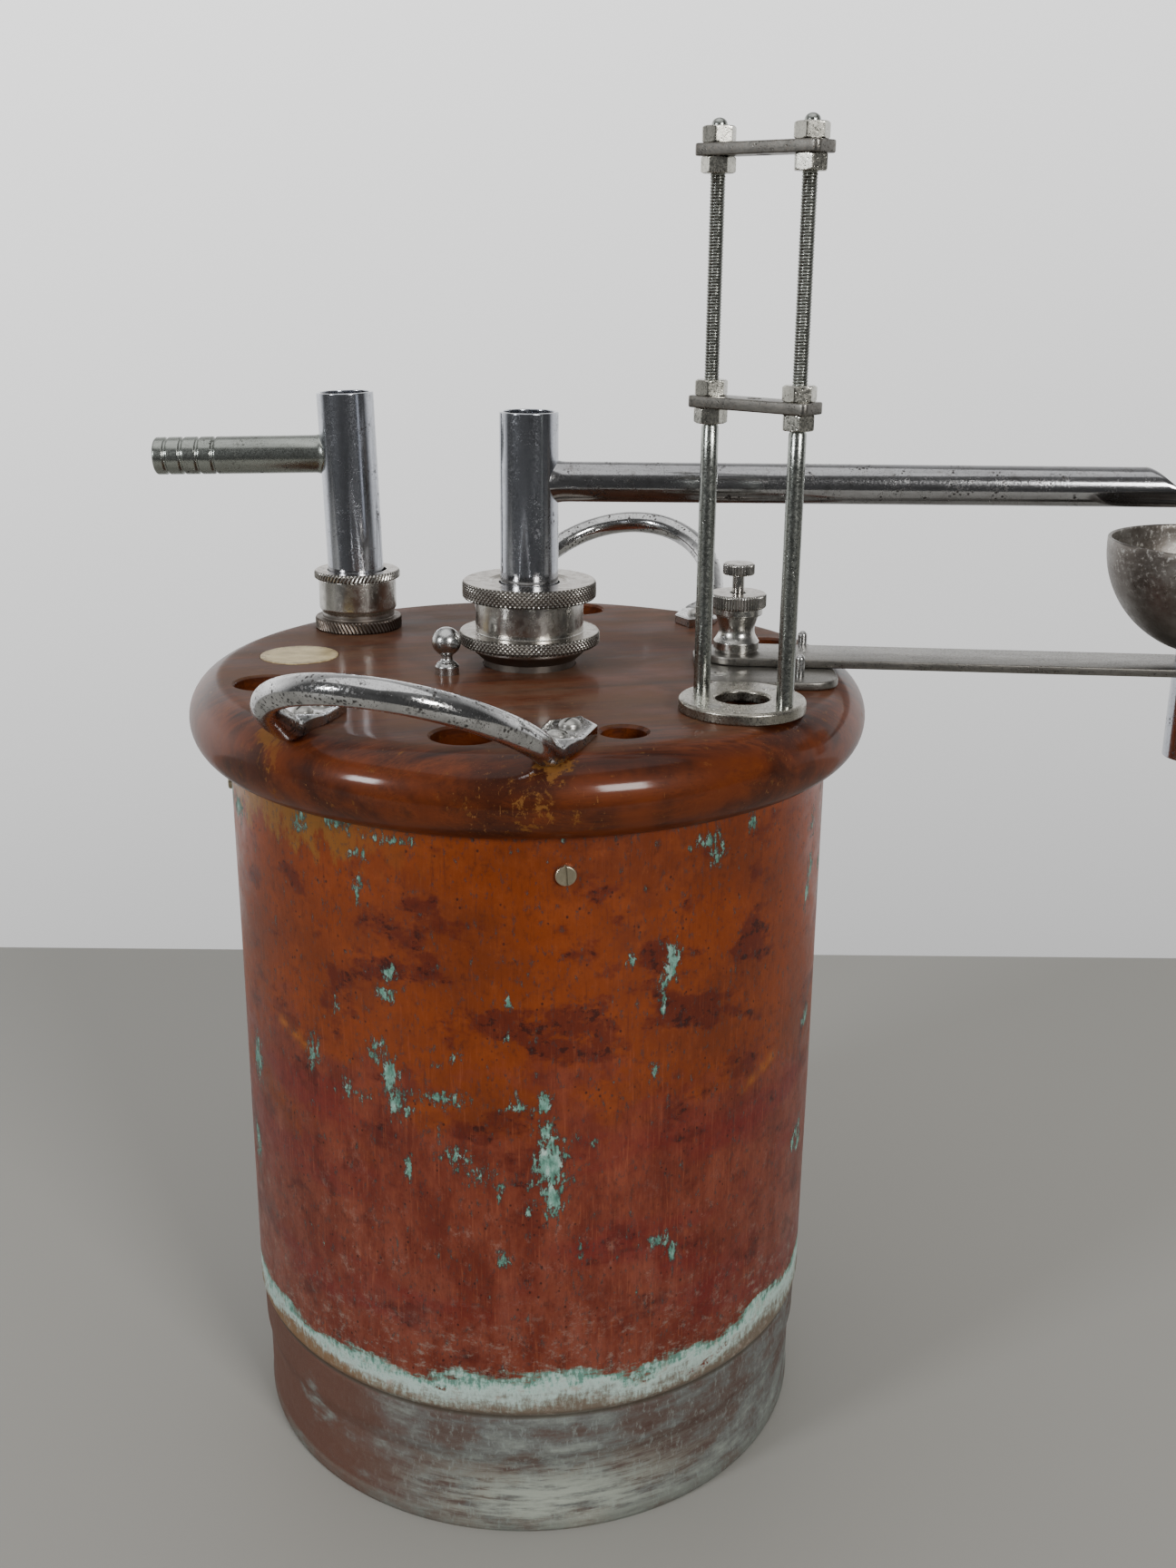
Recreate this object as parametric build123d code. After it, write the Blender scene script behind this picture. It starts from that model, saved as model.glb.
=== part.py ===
from build123d import *
import os
from math import atan2, cos, degrees, pi, radians, sin, sqrt

# Water-flow calorimeter vessel: a copper can closed by a bull-nosed wooden lid that carries
# an inlet tee, an outlet tee with a long spout, a two-rod guide frame over one port, and a
# swinging funnel arm held by a clamp post. Millimetres, +Z up. The origin is the centre of
# the can's flat bottom, and the spout runs along +X.

os.makedirs("parts", exist_ok=True)

# ---------------------------------------------------------------- driving dimensions
LID_TOP = 258.5
LID_THICK = 25.0
LID_FLAT_R = 94.2
PLUG_THICK = 20.0
PLUG_R = 93.9

CAN_R = 95.2
CAN_WALL = 1.2
CAN_SEAT_R = 93.0
CAN_SHOULDER_Z = 45.0
CAN_BASE_THICK = 1.5
CAN_SCREW_Z = 222.6
CAN_SCREW_ANGLE = -82.0
CAN_SCREW_COUNT = 4

PORT_CIRCLE_R = 84.0
PORT_R = 9.3
OPEN_PORT_ANGLES = (-160.0, -100.0, 20.0, 80.0)
PROBE_HOLE_R = 6.4
PROBE_HOLE_XY = (28.8, -77.8)

LABEL_XY = (-74.7, 6.7)
LABEL_R = 12.5
LABEL_THICK = 1.2
LABEL_PROUD = 0.2

HANDLE_BAR_R = 4.0
HANDLE_ANGLES = (-106.5, 73.5)
HANDLE_FOOT_R = 97.5
HANDLE_HALF_SPAN = 37.0
HANDLE_RISE = 22.5
HANDLE_LEAN = 38.3
HANDLE_TOP_R = 33.0
HANDLE_FOOT_Z = 2.2
TAB_WIDTH = 14.0
TAB_THICK = 3.0
TAB_ROOT = 8.0
TAB_SHOULDER = 25.0
TAB_TIP = 32.0
TAB_SCREWS = (11.0, 22.0)

EYE_POST_XY = (-25.0, -15.5)
EYE_BALL_R = 4.5
EYE_BALL_Z = 10.2
EYE_HOLE_R = 1.25
EYE_HOLE_ANGLE = -37.0

OUTLET_TUBE_R = 9.1
OUTLET_TUBE_TOP = 78.5
OUTLET_NECK_R = 14.6
OUTLET_DISC_R = 22.4
OUTLET_COLLAR_R = 17.1
OUTLET_NUT_R = 21.2
SPOUT_R = 6.15
SPOUT_Z = 57.4
SPOUT_TOP_END = 191.4
SPOUT_LIP_END = 207.0
TUBE_WALL = 1.3

INLET_XY = (-61.4, 50.3)
INLET_TUBE_R = 9.5
INLET_TUBE_TOP = 79.8
INLET_LEAN = 1.6
INLET_RING_R = 14.9
INLET_COLLAR_R = 13.25
INLET_STEM_R = 12.0
NOZZLE_R = 6.3
NOZZLE_Z = 59.5
NOZZLE_REACH = 65.8
NOZZLE_COLLAR_R = 6.9
NOZZLE_COLLAR_END = 10.6
NOZZLE_TURN = 177.0
NOZZLE_GROOVES = (4.0, 9.5, 15.0, 20.5)

RING_XY = (63.2, -53.6)
RING_R = 18.4
RING_HOLE_R = 7.8
RING_THICK = 3.5
ROD_HALF_SPACING = 14.5
ROD_DIRECTION = -40.3
ROD_R = 2.45
ROD_THREAD_R = 2.15
ROD_THREAD_START = 79.4
ROD_TOP = 158.7
ROD_CROWN = 1.4
BAR_THICK = 3.2
BAR_WIDTH = 9.5
BAR_END = 5.0
BAR_HOLE_R = 2.0
LOWER_BAR_Z = 84.1
UPPER_BAR_Z = 149.1
ROD_NUT_FLATS = 8.2
ROD_NUT_HEIGHT = 4.3
RUNNING_GAP = 0.05

PLATE_X = (52.5, 95.0)
PLATE_Y = (-33.0, 15.0)
PLATE_CORNER_R = 9.0
PLATE_THICK = 2.6
PIVOT_XY = (65.5, -3.0)
ARM_ANGLE = -4.2
ARM_REACH = 144.9
ARM_WIDTH = 21.0
ARM_THICK = 2.6
ARM_GAP = 0.1
STUD_R = 3.0
PIN_R = 1.5
PIN_HEIGHT = 6.8
NEAR_PIN_XY = (83.1, -24.9)
FAR_PIN_ALONG = 21.5
PIN_GAP = 0.15
WASHER_THICK = 0.9
CLAMP_NUT_R = 8.95
CLAMP_SCREW_R = 4.95

BOWL_R = 32.5
BOWL_WALL = 1.2
BOWL_CENTRE_Z = 40.8
BOWL_RIM = 2.5
DRAIN_R = 9.0
DRAIN_NECK_R = 8.6
DRAIN_WALL = 1.2
DRAIN_BOTTOM = -25.0

COIL_TUBE_R = 4.8
COIL_TURNS = 4
COIL_TOP = 178.0
COIL_BOTTOM = 58.0
UNION_SIZE = 16.0
STEM_TAIL = 12.0

PLUG_BOTTOM = LID_TOP - LID_THICK - PLUG_THICK
TAIL_BOTTOM = PLUG_BOTTOM - STEM_TAIL


# ---------------------------------------------------------------- shared shapes
def turned(*corners):
    """A body turned on the lathe about Z, from its half section's (radius, height) corners."""
    outline = Polyline(*[(r, 0, z) for r, z in corners], close=True)
    return revolve(make_face(outline), Axis.Z)


def tube(outer, inner, low, high):
    """A straight tube standing on Z between two heights."""
    return turned((inner, low), (outer, low), (outer, high), (inner, high))


def rod(radius, low, high):
    """A plain round bar standing on Z between two heights."""
    return Pos(0, 0, low) * Cylinder(radius, high - low, align=(Align.CENTER, Align.CENTER, Align.MIN))


def crown(radius, rise, foot):
    """Arc of a round head from its rim to its top, with its centre on the axis."""
    ball_r = (radius**2 + rise**2) / (2 * rise)
    half = atan2(radius, ball_r - rise) / 2
    middle = (ball_r * sin(half), 0, foot + rise - ball_r + ball_r * cos(half))
    return ThreePointArc((radius, 0, foot), middle, (0, 0, foot + rise))


def round_screw(head_r, head_h, shank_r, shank_len):
    """A raised-headed screw whose head sits on Z = 0 and whose shank points down."""
    return turned(
        (0, -shank_len), (shank_r, -shank_len), (shank_r, 0), (head_r, 0), (0.92 * head_r, 0.5 * head_h),
        (0.62 * head_r, 0.88 * head_h), (0.25 * head_r, head_h), (0, head_h),
    )


def sunk_screw(head_r, shank_r, shank_len):
    """A countersunk screw with its flat head's top on Z = 0 and a cut slot."""
    sink = head_r - shank_r
    body = turned((0, 0), (head_r, 0), (shank_r, -sink), (shank_r, -shank_len), (0, -shank_len))
    return body - Box(2 * head_r + 1, 0.7, 1.0)


def hex_nut(flats, bore_r, height):
    """A chamfered hexagon nut standing on Z = 0."""
    corner_r = flats / sqrt(3)
    prism = extrude(RegularPolygon(corner_r, 6), height)
    ease = (corner_r - flats / 2) * 0.6
    cone = turned(
        (0, 0), (flats / 2, 0), (corner_r, ease), (corner_r, height - ease), (flats / 2, height), (0, height)
    )
    return (prism & cone) - rod(bore_r, 0, height)


def on_circle(radius, angle, z=0.0):
    """A location at a radius and an angle about Z."""
    return Pos(radius * cos(radians(angle)), radius * sin(radians(angle)), z)


def group(solids):
    """Separate like pieces kept together as one named part."""
    return Compound([s for shape in solids for s in shape.solids()])


def save(name, shape):
    """Write one named part."""
    export_step(shape, f"parts/{name}.step")


# ---------------------------------------------------------------- can
def copper_can():
    """Spun sheet can: a stepped-in foot band under a shoulder, then a straight wall."""
    top = LID_TOP - LID_THICK
    inner_low = CAN_SEAT_R - CAN_WALL
    shell = turned(
        (inner_low, 0),
        (CAN_SEAT_R - 0.5, 0),
        (CAN_SEAT_R + 0.3, 1.2),
        (CAN_SEAT_R + 0.3, 4.0),
        (CAN_SEAT_R, 5.0),
        (CAN_SEAT_R, CAN_SHOULDER_Z - 19),
        (CAN_SEAT_R + 1.3, CAN_SHOULDER_Z - 14),
        (CAN_SEAT_R + 1.5, CAN_SHOULDER_Z - 1.5),
        (CAN_R - 1.0, CAN_SHOULDER_Z),
        (CAN_R + 0.3, CAN_SHOULDER_Z + 2.2),
        (CAN_R, CAN_SHOULDER_Z + 7),
        (CAN_R, top),
        (CAN_R - CAN_WALL, top),
        (CAN_R - CAN_WALL, CAN_SHOULDER_Z + 3),
        (inner_low, CAN_SHOULDER_Z - 3),
    )
    for turn in can_screw_angles():
        shell -= Rot(0, 0, turn) * Pos(CAN_R, 0, CAN_SCREW_Z) * Rot(0, 90, 0) * Cylinder(1.6, 8)
    return shell


def can_screw_angles():
    """Angles of the screws that hold the can to the lid's plug."""
    return [CAN_SCREW_ANGLE + 360 / CAN_SCREW_COUNT * k for k in range(CAN_SCREW_COUNT)]


def can_screws():
    """Cheese-headed slotted screws through the can wall into the wooden plug."""
    head = turned((0, -11), (1.6, -11), (1.6, 0.1), (3.0, 0.1), (3.0, 1.0), (2.6, 1.3), (0, 1.3))
    head -= Pos(0, 0, 1.3) * Box(7, 0.8, 1.2)
    placed = [
        Rot(0, 0, turn) * Pos(CAN_R, 0, CAN_SCREW_Z) * Rot(0, 90, 0) * Rot(0, 0, 20) * head
        for turn in can_screw_angles()
    ]
    return group(placed)


# ---------------------------------------------------------------- lid
def port_cutters(low, high):
    """Cylinders for every hole that goes right through the lid and its plug."""
    holes = [on_circle(PORT_CIRCLE_R, a) * rod(PORT_R, low, high) for a in OPEN_PORT_ANGLES]
    holes.append(Pos(*RING_XY, 0) * rod(PORT_R, low, high))
    holes.append(Pos(*PROBE_HOLE_XY, 0) * rod(PROBE_HOLE_R, low, high))
    holes.append(Pos(*INLET_XY, 0) * rod(INLET_STEM_R, low, high))
    holes.append(rod(OUTLET_NECK_R, low, high))
    return holes


def wooden_lid():
    """Turned board with a full half-round edge."""
    low = LID_TOP - LID_THICK
    nose = LID_THICK / 2
    section = [
        Line((0, 0, low), (LID_FLAT_R, 0, low)),
        ThreePointArc((LID_FLAT_R, 0, low), (LID_FLAT_R + nose, 0, low + nose), (LID_FLAT_R, 0, LID_TOP)),
        Line((LID_FLAT_R, 0, LID_TOP), (0, 0, LID_TOP)),
        Line((0, 0, LID_TOP), (0, 0, low)),
    ]
    board = revolve(make_face(section), Axis.Z) - port_cutters(low, LID_TOP)
    board -= Pos(*LABEL_XY, LID_TOP) * Cylinder(LABEL_R, 2 * (LABEL_THICK - LABEL_PROUD))
    board -= Pos(*EYE_POST_XY, LID_TOP) * Cylinder(1.8, 24)
    for place in tab_screw_places():
        board -= place * rod(1.4, -12, 1)
    for x, y in plate_screw_places() + ring_screw_places():
        board -= Pos(x, y, LID_TOP) * rod(1.2, -10, 1)
    return board


def lid_plug():
    """Wooden disc under the lid that fits inside the can and takes its screws."""
    top = LID_TOP - LID_THICK
    plug = rod(PLUG_R, PLUG_BOTTOM, top) - port_cutters(PLUG_BOTTOM, top)
    for turn in can_screw_angles():
        plug -= Rot(0, 0, turn) * Pos(CAN_R, 0, CAN_SCREW_Z) * Rot(0, 90, 0) * rod(1.6, -11, 2)
    return plug


def label_disc():
    """Blank ivory-coloured disc let into the lid."""
    seat = LID_TOP - LABEL_THICK + LABEL_PROUD
    edge = LID_TOP + LABEL_PROUD
    disc = turned((0, seat), (LABEL_R, seat), (LABEL_R, edge - 0.1), (LABEL_R - 0.2, edge), (0, edge))
    return Pos(*LABEL_XY, 0) * disc


# ---------------------------------------------------------------- handles
def handle_foot(side):
    """Where the round bar meets the lid's edge, in the handle's own frame: +X leads outwards."""
    return Vector(HANDLE_FOOT_R, side * HANDLE_HALF_SPAN, LID_TOP + HANDLE_FOOT_Z)


def handle_tab(side):
    """Flattened, pointed end of the bar that the two screws go through."""
    half = TAB_WIDTH / 2
    corners = [
        (-TAB_ROOT, -half),
        (-TAB_SHOULDER, -half),
        (-TAB_TIP, 0),
        (-TAB_SHOULDER, half),
        (-TAB_ROOT, half),
    ]
    plate = extrude(make_face(Polyline(*corners, close=True)), TAB_THICK)
    for along in TAB_SCREWS:
        plate -= Pos(-along, 0, 0) * rod(1.5, 0, TAB_THICK)
    return Pos(HANDLE_FOOT_R, side * HANDLE_HALF_SPAN, LID_TOP) * plate


def handle_swage(side):
    """Change of section from the flat tab to the round bar."""
    lean = degrees(atan2(HANDLE_RISE, HANDLE_LEAN))
    foot = handle_foot(side)
    flat = Plane(
        origin=(foot.X - TAB_ROOT, foot.Y, LID_TOP + TAB_THICK / 2), x_dir=(0, 1, 0), z_dir=(1, 0, 0)
    )
    round_end = Plane(
        origin=tuple(foot),
        x_dir=(0, 1, 0),
        z_dir=(cos(radians(lean)), 0, sin(radians(lean))),
    )
    return loft([flat * Ellipse(TAB_WIDTH / 2, TAB_THICK / 2), round_end * Circle(HANDLE_BAR_R)])


def bow_path():
    """Three tangent arcs of the grip in its own plane: +X leads up the slope, Y across the span."""
    reach = sqrt(HANDLE_RISE**2 + HANDLE_LEAN**2)
    rise = reach - HANDLE_TOP_R
    side_r = (rise**2 + HANDLE_HALF_SPAN**2 - HANDLE_TOP_R**2) / (2 * (HANDLE_HALF_SPAN - HANDLE_TOP_R))
    turn = atan2(side_r - HANDLE_HALF_SPAN, rise)
    join = (rise + HANDLE_TOP_R * cos(turn), HANDLE_TOP_R * sin(turn))
    half = (pi / 2 + turn) / 2
    flank = (side_r * cos(half), side_r * sin(half) - side_r + HANDLE_HALF_SPAN)
    return [
        ThreePointArc((0, -HANDLE_HALF_SPAN), (flank[0], -flank[1]), (join[0], -join[1])),
        ThreePointArc((join[0], -join[1]), (reach, 0), join),
        ThreePointArc(join, flank, (0, HANDLE_HALF_SPAN)),
    ]


def handle_bow():
    """Arched grip of round bar, leaning outwards over the lid's edge."""
    middle = Vector(HANDLE_FOOT_R, 0, LID_TOP + HANDLE_FOOT_Z)
    slope = Vector(HANDLE_LEAN, 0, HANDLE_RISE).normalized()
    bow_plane = Plane(origin=middle, x_dir=slope, z_dir=slope.cross(Vector(0, 1, 0)))
    path = bow_plane * Wire([edge for arc in bow_path() for edge in arc.edges()])
    section = Plane(origin=path @ 0, z_dir=path % 0) * Circle(HANDLE_BAR_R)
    return sweep(section, path)


def handle(angle):
    """One carrying handle bent from a single round bar."""
    whole = handle_bow()
    for side in (-1, 1):
        whole += handle_swage(side)
        whole += handle_tab(side)
    return Rot(0, 0, angle) * whole


def tab_screw_places():
    """Positions on the lid of all the handle screws."""
    return [
        Rot(0, 0, angle) * Pos(HANDLE_FOOT_R - along, side * HANDLE_HALF_SPAN, LID_TOP)
        for angle in HANDLE_ANGLES
        for side in (-1, 1)
        for along in TAB_SCREWS
    ]


def handle_screws():
    """Round-headed wood screws through the handle tabs."""
    screw = round_screw(3.1, 2.0, 1.4, 15.0)
    return group([place * Pos(0, 0, TAB_THICK) * screw for place in tab_screw_places()])


# ---------------------------------------------------------------- eye post
def ball_eye_post():
    """Turned post with a cross-drilled ball head, screwed into the lid."""
    neck_r = 1.7
    joint_z = EYE_BALL_Z - sqrt(EYE_BALL_R**2 - neck_r**2)
    stem = turned(
        (0, -12), (1.8, -12), (1.8, 0), (3.7, 0), (3.7, 3.0), (2.6, 3.6), (neck_r, 4.8), (neck_r, joint_z + 1),
        (0, joint_z + 1),
    )
    ball = Pos(0, 0, EYE_BALL_Z) * Sphere(EYE_BALL_R)
    drill = Pos(0, 0, EYE_BALL_Z) * Rot(0, 0, EYE_HOLE_ANGLE) * Rot(0, 90, 0) * Cylinder(EYE_HOLE_R, 12)
    return Pos(*EYE_POST_XY, LID_TOP) * (stem + ball - drill)


# ---------------------------------------------------------------- outlet gland and tee
def outlet_neck():
    """Screwed neck through the lid and plug, with a floor that takes the riser pipe."""
    low, high = TAIL_BOTTOM - LID_TOP, 10.0
    neck = turned(
        (COIL_TUBE_R, low), (OUTLET_NECK_R, low), (OUTLET_NECK_R, high), (11.0, high), (11.0, low + 3.5),
        (COIL_TUBE_R, low + 3.5),
    )
    return Pos(0, 0, LID_TOP) * neck


def outlet_gland_body():
    """Union body: tapered boss, knurled disc and smooth stuffing collar in one turning."""
    body = turned(
        (OUTLET_NECK_R, 2.1),
        (15.2, 2.1),
        (18.4, 5.2),
        (18.4, 6.8),
        (OUTLET_DISC_R - 0.5, 6.8),
        (OUTLET_DISC_R, 7.3),
        (OUTLET_DISC_R, 10.3),
        (OUTLET_DISC_R - 0.5, 10.8),
        (OUTLET_COLLAR_R, 10.8),
        (OUTLET_COLLAR_R, 21.3),
        (13.0, 21.3),
        (13.0, 12.0),
        (OUTLET_TUBE_R + 0.2, 12.0),
        (OUTLET_TUBE_R + 0.2, 10.0),
        (OUTLET_NECK_R, 10.0),
    )
    return Pos(0, 0, LID_TOP) * body


def outlet_gland_packing():
    """Soft packing ring squeezed round the outlet tube."""
    return tube(13.0, OUTLET_TUBE_R + RUNNING_GAP, LID_TOP + 12.0, LID_TOP + 18.5)


def outlet_gland_nut():
    """Knurled gland nut whose nose presses on the packing."""
    bore = OUTLET_TUBE_R + 0.5
    nut = turned(
        (bore, 18.7),
        (12.9, 18.7),
        (12.9, 21.4),
        (OUTLET_NUT_R - 0.6, 21.4),
        (OUTLET_NUT_R, 22.0),
        (OUTLET_NUT_R, 26.2),
        (OUTLET_NUT_R - 0.6, 26.8),
        (bore, 26.8),
    )
    return Pos(0, 0, LID_TOP) * nut


def side_pipe(radius, wall, start, end):
    """A branch pipe lying along +X."""
    length = end - start
    return Pos(start, 0, 0) * Rot(0, 90, 0) * tube(radius, radius - wall, 0, length)


def outlet_tee_tube():
    """Open-topped upright of the outlet tee, drilled for its spout."""
    upright = tube(OUTLET_TUBE_R, OUTLET_TUBE_R - TUBE_WALL, 8.0, OUTLET_TUBE_TOP)
    branch = Pos(0, 0, SPOUT_Z) * Rot(0, 90, 0) * rod(SPOUT_R - TUBE_WALL, 0, 2 * OUTLET_TUBE_R)
    return Pos(0, 0, LID_TOP) * (upright - branch)


def outlet_spout():
    """Long spout saddled onto the upright and cut off obliquely so that its lower lip pours."""
    pipe = Pos(0, 0, SPOUT_Z) * side_pipe(SPOUT_R, TUBE_WALL, 5.0, SPOUT_LIP_END)
    pipe -= rod(OUTLET_TUBE_R, 0, OUTLET_TUBE_TOP)
    low, high = SPOUT_Z - SPOUT_R, SPOUT_Z + SPOUT_R
    wedge = Polyline(
        (SPOUT_TOP_END, -20, high),
        (SPOUT_LIP_END, -20, low),
        (SPOUT_LIP_END + 20, -20, low),
        (SPOUT_LIP_END + 20, -20, high + 10),
        (SPOUT_TOP_END, -20, high + 10),
        close=True,
    )
    return Pos(0, 0, LID_TOP) * (pipe - extrude(make_face(wedge), 40, dir=(0, 1, 0)))


# ---------------------------------------------------------------- inlet gland and tee
def inlet_gland_body():
    """Gland body in one turning: knurled seat ring, neck, stuffing collar and screwed stem."""
    low = TAIL_BOTTOM - LID_TOP
    clear = INLET_TUBE_R + 0.5
    body = turned(
        (COIL_TUBE_R, low),
        (INLET_STEM_R, low),
        (INLET_STEM_R, 0),
        (INLET_RING_R - 0.4, 0),
        (INLET_RING_R, 0.4),
        (INLET_RING_R, 3.7),
        (INLET_RING_R - 0.4, 4.1),
        (12.4, 4.1),
        (12.4, 6.0),
        (INLET_COLLAR_R, 7.4),
        (INLET_COLLAR_R, 17.5),
        (12.2, 17.5),
        (12.2, 8.0),
        (clear, 8.0),
        (clear, low + 3.5),
        (COIL_TUBE_R, low + 3.5),
    )
    return Pos(*INLET_XY, LID_TOP) * body


def inlet_gland_packing():
    """Soft packing ring round the inlet tube."""
    return Pos(*INLET_XY, LID_TOP) * tube(12.2, INLET_TUBE_R + 0.4, 8.0, 15.5)


def inlet_gland_nut():
    """Thin knurled gland nut with a nose that presses on the packing."""
    bore = INLET_TUBE_R + 0.6
    nut = turned(
        (bore, 15.7), (12.1, 15.7), (12.1, 17.6), (14.4, 17.6), (14.7, 17.9), (14.7, 19.6), (14.0, 20.3),
        (bore, 20.3),
    )
    return Pos(*INLET_XY, LID_TOP) * nut


def inlet_place():
    """The inlet tee stands a little out of true in its packing."""
    return Pos(*INLET_XY, LID_TOP + 8.0) * Rot(0, -INLET_LEAN, 0) * Pos(0, 0, -8.0)


def inlet_tee_tube():
    """Open-topped upright of the inlet tee, drilled for its hose nozzle."""
    upright = tube(INLET_TUBE_R, INLET_TUBE_R - TUBE_WALL, -4.0, INLET_TUBE_TOP)
    bore = Pos(0, 0, NOZZLE_Z) * Rot(0, 0, NOZZLE_TURN) * Rot(0, 90, 0) * rod(NOZZLE_R - TUBE_WALL, 0, 19)
    return inlet_place() * (upright - bore)


def inlet_hose_nozzle():
    """Branch of the inlet tee: a brazed root collar, and ring grooves at its free end to grip a hose."""
    pipe = side_pipe(NOZZLE_R, TUBE_WALL, 5.0, NOZZLE_REACH)
    pipe += side_pipe(NOZZLE_COLLAR_R, NOZZLE_COLLAR_R - NOZZLE_R + TUBE_WALL, 5.0, NOZZLE_COLLAR_END)
    for inset in NOZZLE_GROOVES:
        groove = tube(NOZZLE_R + 1, NOZZLE_R - 0.5, -0.5, 0.5)
        pipe -= Pos(NOZZLE_REACH - inset, 0, 0) * Rot(0, 90, 0) * groove
    pipe = Pos(0, 0, NOZZLE_Z) * Rot(0, 0, NOZZLE_TURN) * pipe
    return inlet_place() * (pipe - rod(INLET_TUBE_R, 0, INLET_TUBE_TOP))


def neck_lock_nuts():
    """Backing nuts under the plug that draw both glands down on the lid."""
    low = PLUG_BOTTOM - 6.0
    large = Pos(0, 0, low) * hex_nut(36.0, OUTLET_NECK_R, 6.0)
    outwards = degrees(atan2(INLET_XY[1], INLET_XY[0]))
    small = Pos(*INLET_XY, low) * Rot(0, 0, outwards + 30) * hex_nut(26.0, INLET_STEM_R, 6.0)
    return group([large, small])


# ---------------------------------------------------------------- water coil in the can
def coil_path():
    """Centreline of the coil, which stops at the face of the elbow block at each end."""
    radius = sqrt(INLET_XY[0] ** 2 + INLET_XY[1] ** 2)
    start = degrees(atan2(INLET_XY[1], INLET_XY[0]))
    gap = degrees(UNION_SIZE / 2 / radius)
    pitch = (COIL_TOP - COIL_BOTTOM) / COIL_TURNS
    lift = pitch * gap / 360
    helix = Helix(pitch=pitch, height=COIL_TOP - COIL_BOTTOM - 2 * lift, radius=radius)
    return Pos(0, 0, COIL_BOTTOM + lift) * Rot(0, 0, start + gap) * helix


def union_blocks():
    """Square elbow blocks at the coil's two ends, each faced up to the end of the pipe."""
    path = coil_path()
    faces = [
        Plane(origin=path @ 0, x_dir=(0, 0, 1), z_dir=-(path % 0)),
        Plane(origin=path @ 1, x_dir=(0, 0, 1), z_dir=path % 1),
    ]
    block = Pos(0, 0, UNION_SIZE / 2) * Box(UNION_SIZE, UNION_SIZE, UNION_SIZE)
    return [face * block for face in faces]


def coil_unions():
    """The two elbow blocks that join the coil to its straight pipes."""
    return union_blocks()


def water_coil():
    """Helix of copper pipe, eight-sided in section, between inlet and outlet."""
    path = coil_path()
    section = Plane(origin=path @ 0, z_dir=path % 0) * RegularPolygon(COIL_TUBE_R, 8)
    return sweep(section, path, is_frenet=True)


def inlet_drop_pipe():
    """Straight pipe from the inlet gland down to the coil's upper elbow block."""
    pipe = Pos(*INLET_XY, 0) * rod(COIL_TUBE_R, COIL_TOP, TAIL_BOTTOM + 3.5)
    return pipe - union_blocks()[1]


def outlet_riser():
    """Bent pipe from the coil's lower elbow block in to the axis and up to the outlet neck."""
    path = FilletPolyline(
        (INLET_XY[0], INLET_XY[1], COIL_BOTTOM), (0, 0, COIL_BOTTOM), (0, 0, TAIL_BOTTOM + 3.5), radius=18
    )
    section = Plane(origin=path @ 0, z_dir=path % 0) * Circle(COIL_TUBE_R)
    return sweep(section, path) - union_blocks()[0]


# ---------------------------------------------------------------- guide frame
def rod_places():
    """Locations of the left and right guide rods on the lid top."""
    ring = Pos(*RING_XY, LID_TOP) * Rot(0, 0, ROD_DIRECTION)
    return [ring * Pos(side * ROD_HALF_SPACING, 0, 0) for side in (-1, 1)]


def ring_screw_places():
    """Where the two small screws hold the ring plate down."""
    across = radians(ROD_DIRECTION + 90)
    return [
        (RING_XY[0] + s * 13.4 * cos(across), RING_XY[1] + s * 13.4 * sin(across)) for s in (-1, 1)
    ]


def guide_ring_plate():
    """Round foot of the guide frame with an eased upper rim and a centre hole."""
    plate = turned(
        (RING_HOLE_R, 0), (RING_R, 0), (RING_R, RING_THICK - 0.6), (RING_R - 0.6, RING_THICK),
        (RING_HOLE_R + 0.3, RING_THICK), (RING_HOLE_R, RING_THICK - 0.3),
    )
    plate = Pos(*RING_XY, LID_TOP) * plate
    for place in rod_places():
        plate -= place * rod(ROD_R, -1, RING_THICK + 1)
    for x, y in ring_screw_places():
        plate -= Pos(x, y, LID_TOP + RING_THICK) * turned((0, 0), (2.0, 0), (1.2, -0.8), (1.2, -4), (0, -4))
    return plate


def ring_plate_screws():
    """Countersunk screws of the ring plate."""
    screw = sunk_screw(2.0, 1.2, 10.0)
    return group([Pos(x, y, LID_TOP + RING_THICK) * screw for x, y in ring_screw_places()])


def guide_rod():
    """Round steel rod, reduced for its screwed upper part and rounded over at the top."""
    outline = [
        Line((0, 0, 0), (ROD_R, 0, 0)),
        Line((ROD_R, 0, 0), (ROD_R, 0, ROD_THREAD_START - 0.3)),
        Line((ROD_R, 0, ROD_THREAD_START - 0.3), (ROD_THREAD_R, 0, ROD_THREAD_START)),
        Line((ROD_THREAD_R, 0, ROD_THREAD_START), (ROD_THREAD_R, 0, ROD_TOP - ROD_CROWN)),
        crown(ROD_THREAD_R, ROD_CROWN, ROD_TOP - ROD_CROWN),
        Line((0, 0, ROD_TOP), (0, 0, 0)),
    ]
    return revolve(make_face(outline), Axis.Z)


def crossbar(height):
    """Flat bar across both rods with a hole in the middle."""
    length = 2 * (ROD_HALF_SPACING + BAR_END)
    bar = extrude(RectangleRounded(length, BAR_WIDTH, 1.6), BAR_THICK)
    bar -= rod(BAR_HOLE_R, 0, BAR_THICK)
    for side in (-1, 1):
        bar -= Pos(side * ROD_HALF_SPACING, 0, 0) * rod(ROD_THREAD_R + RUNNING_GAP, 0, BAR_THICK)
    return Pos(*RING_XY, LID_TOP + height) * Rot(0, 0, ROD_DIRECTION) * bar


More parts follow.
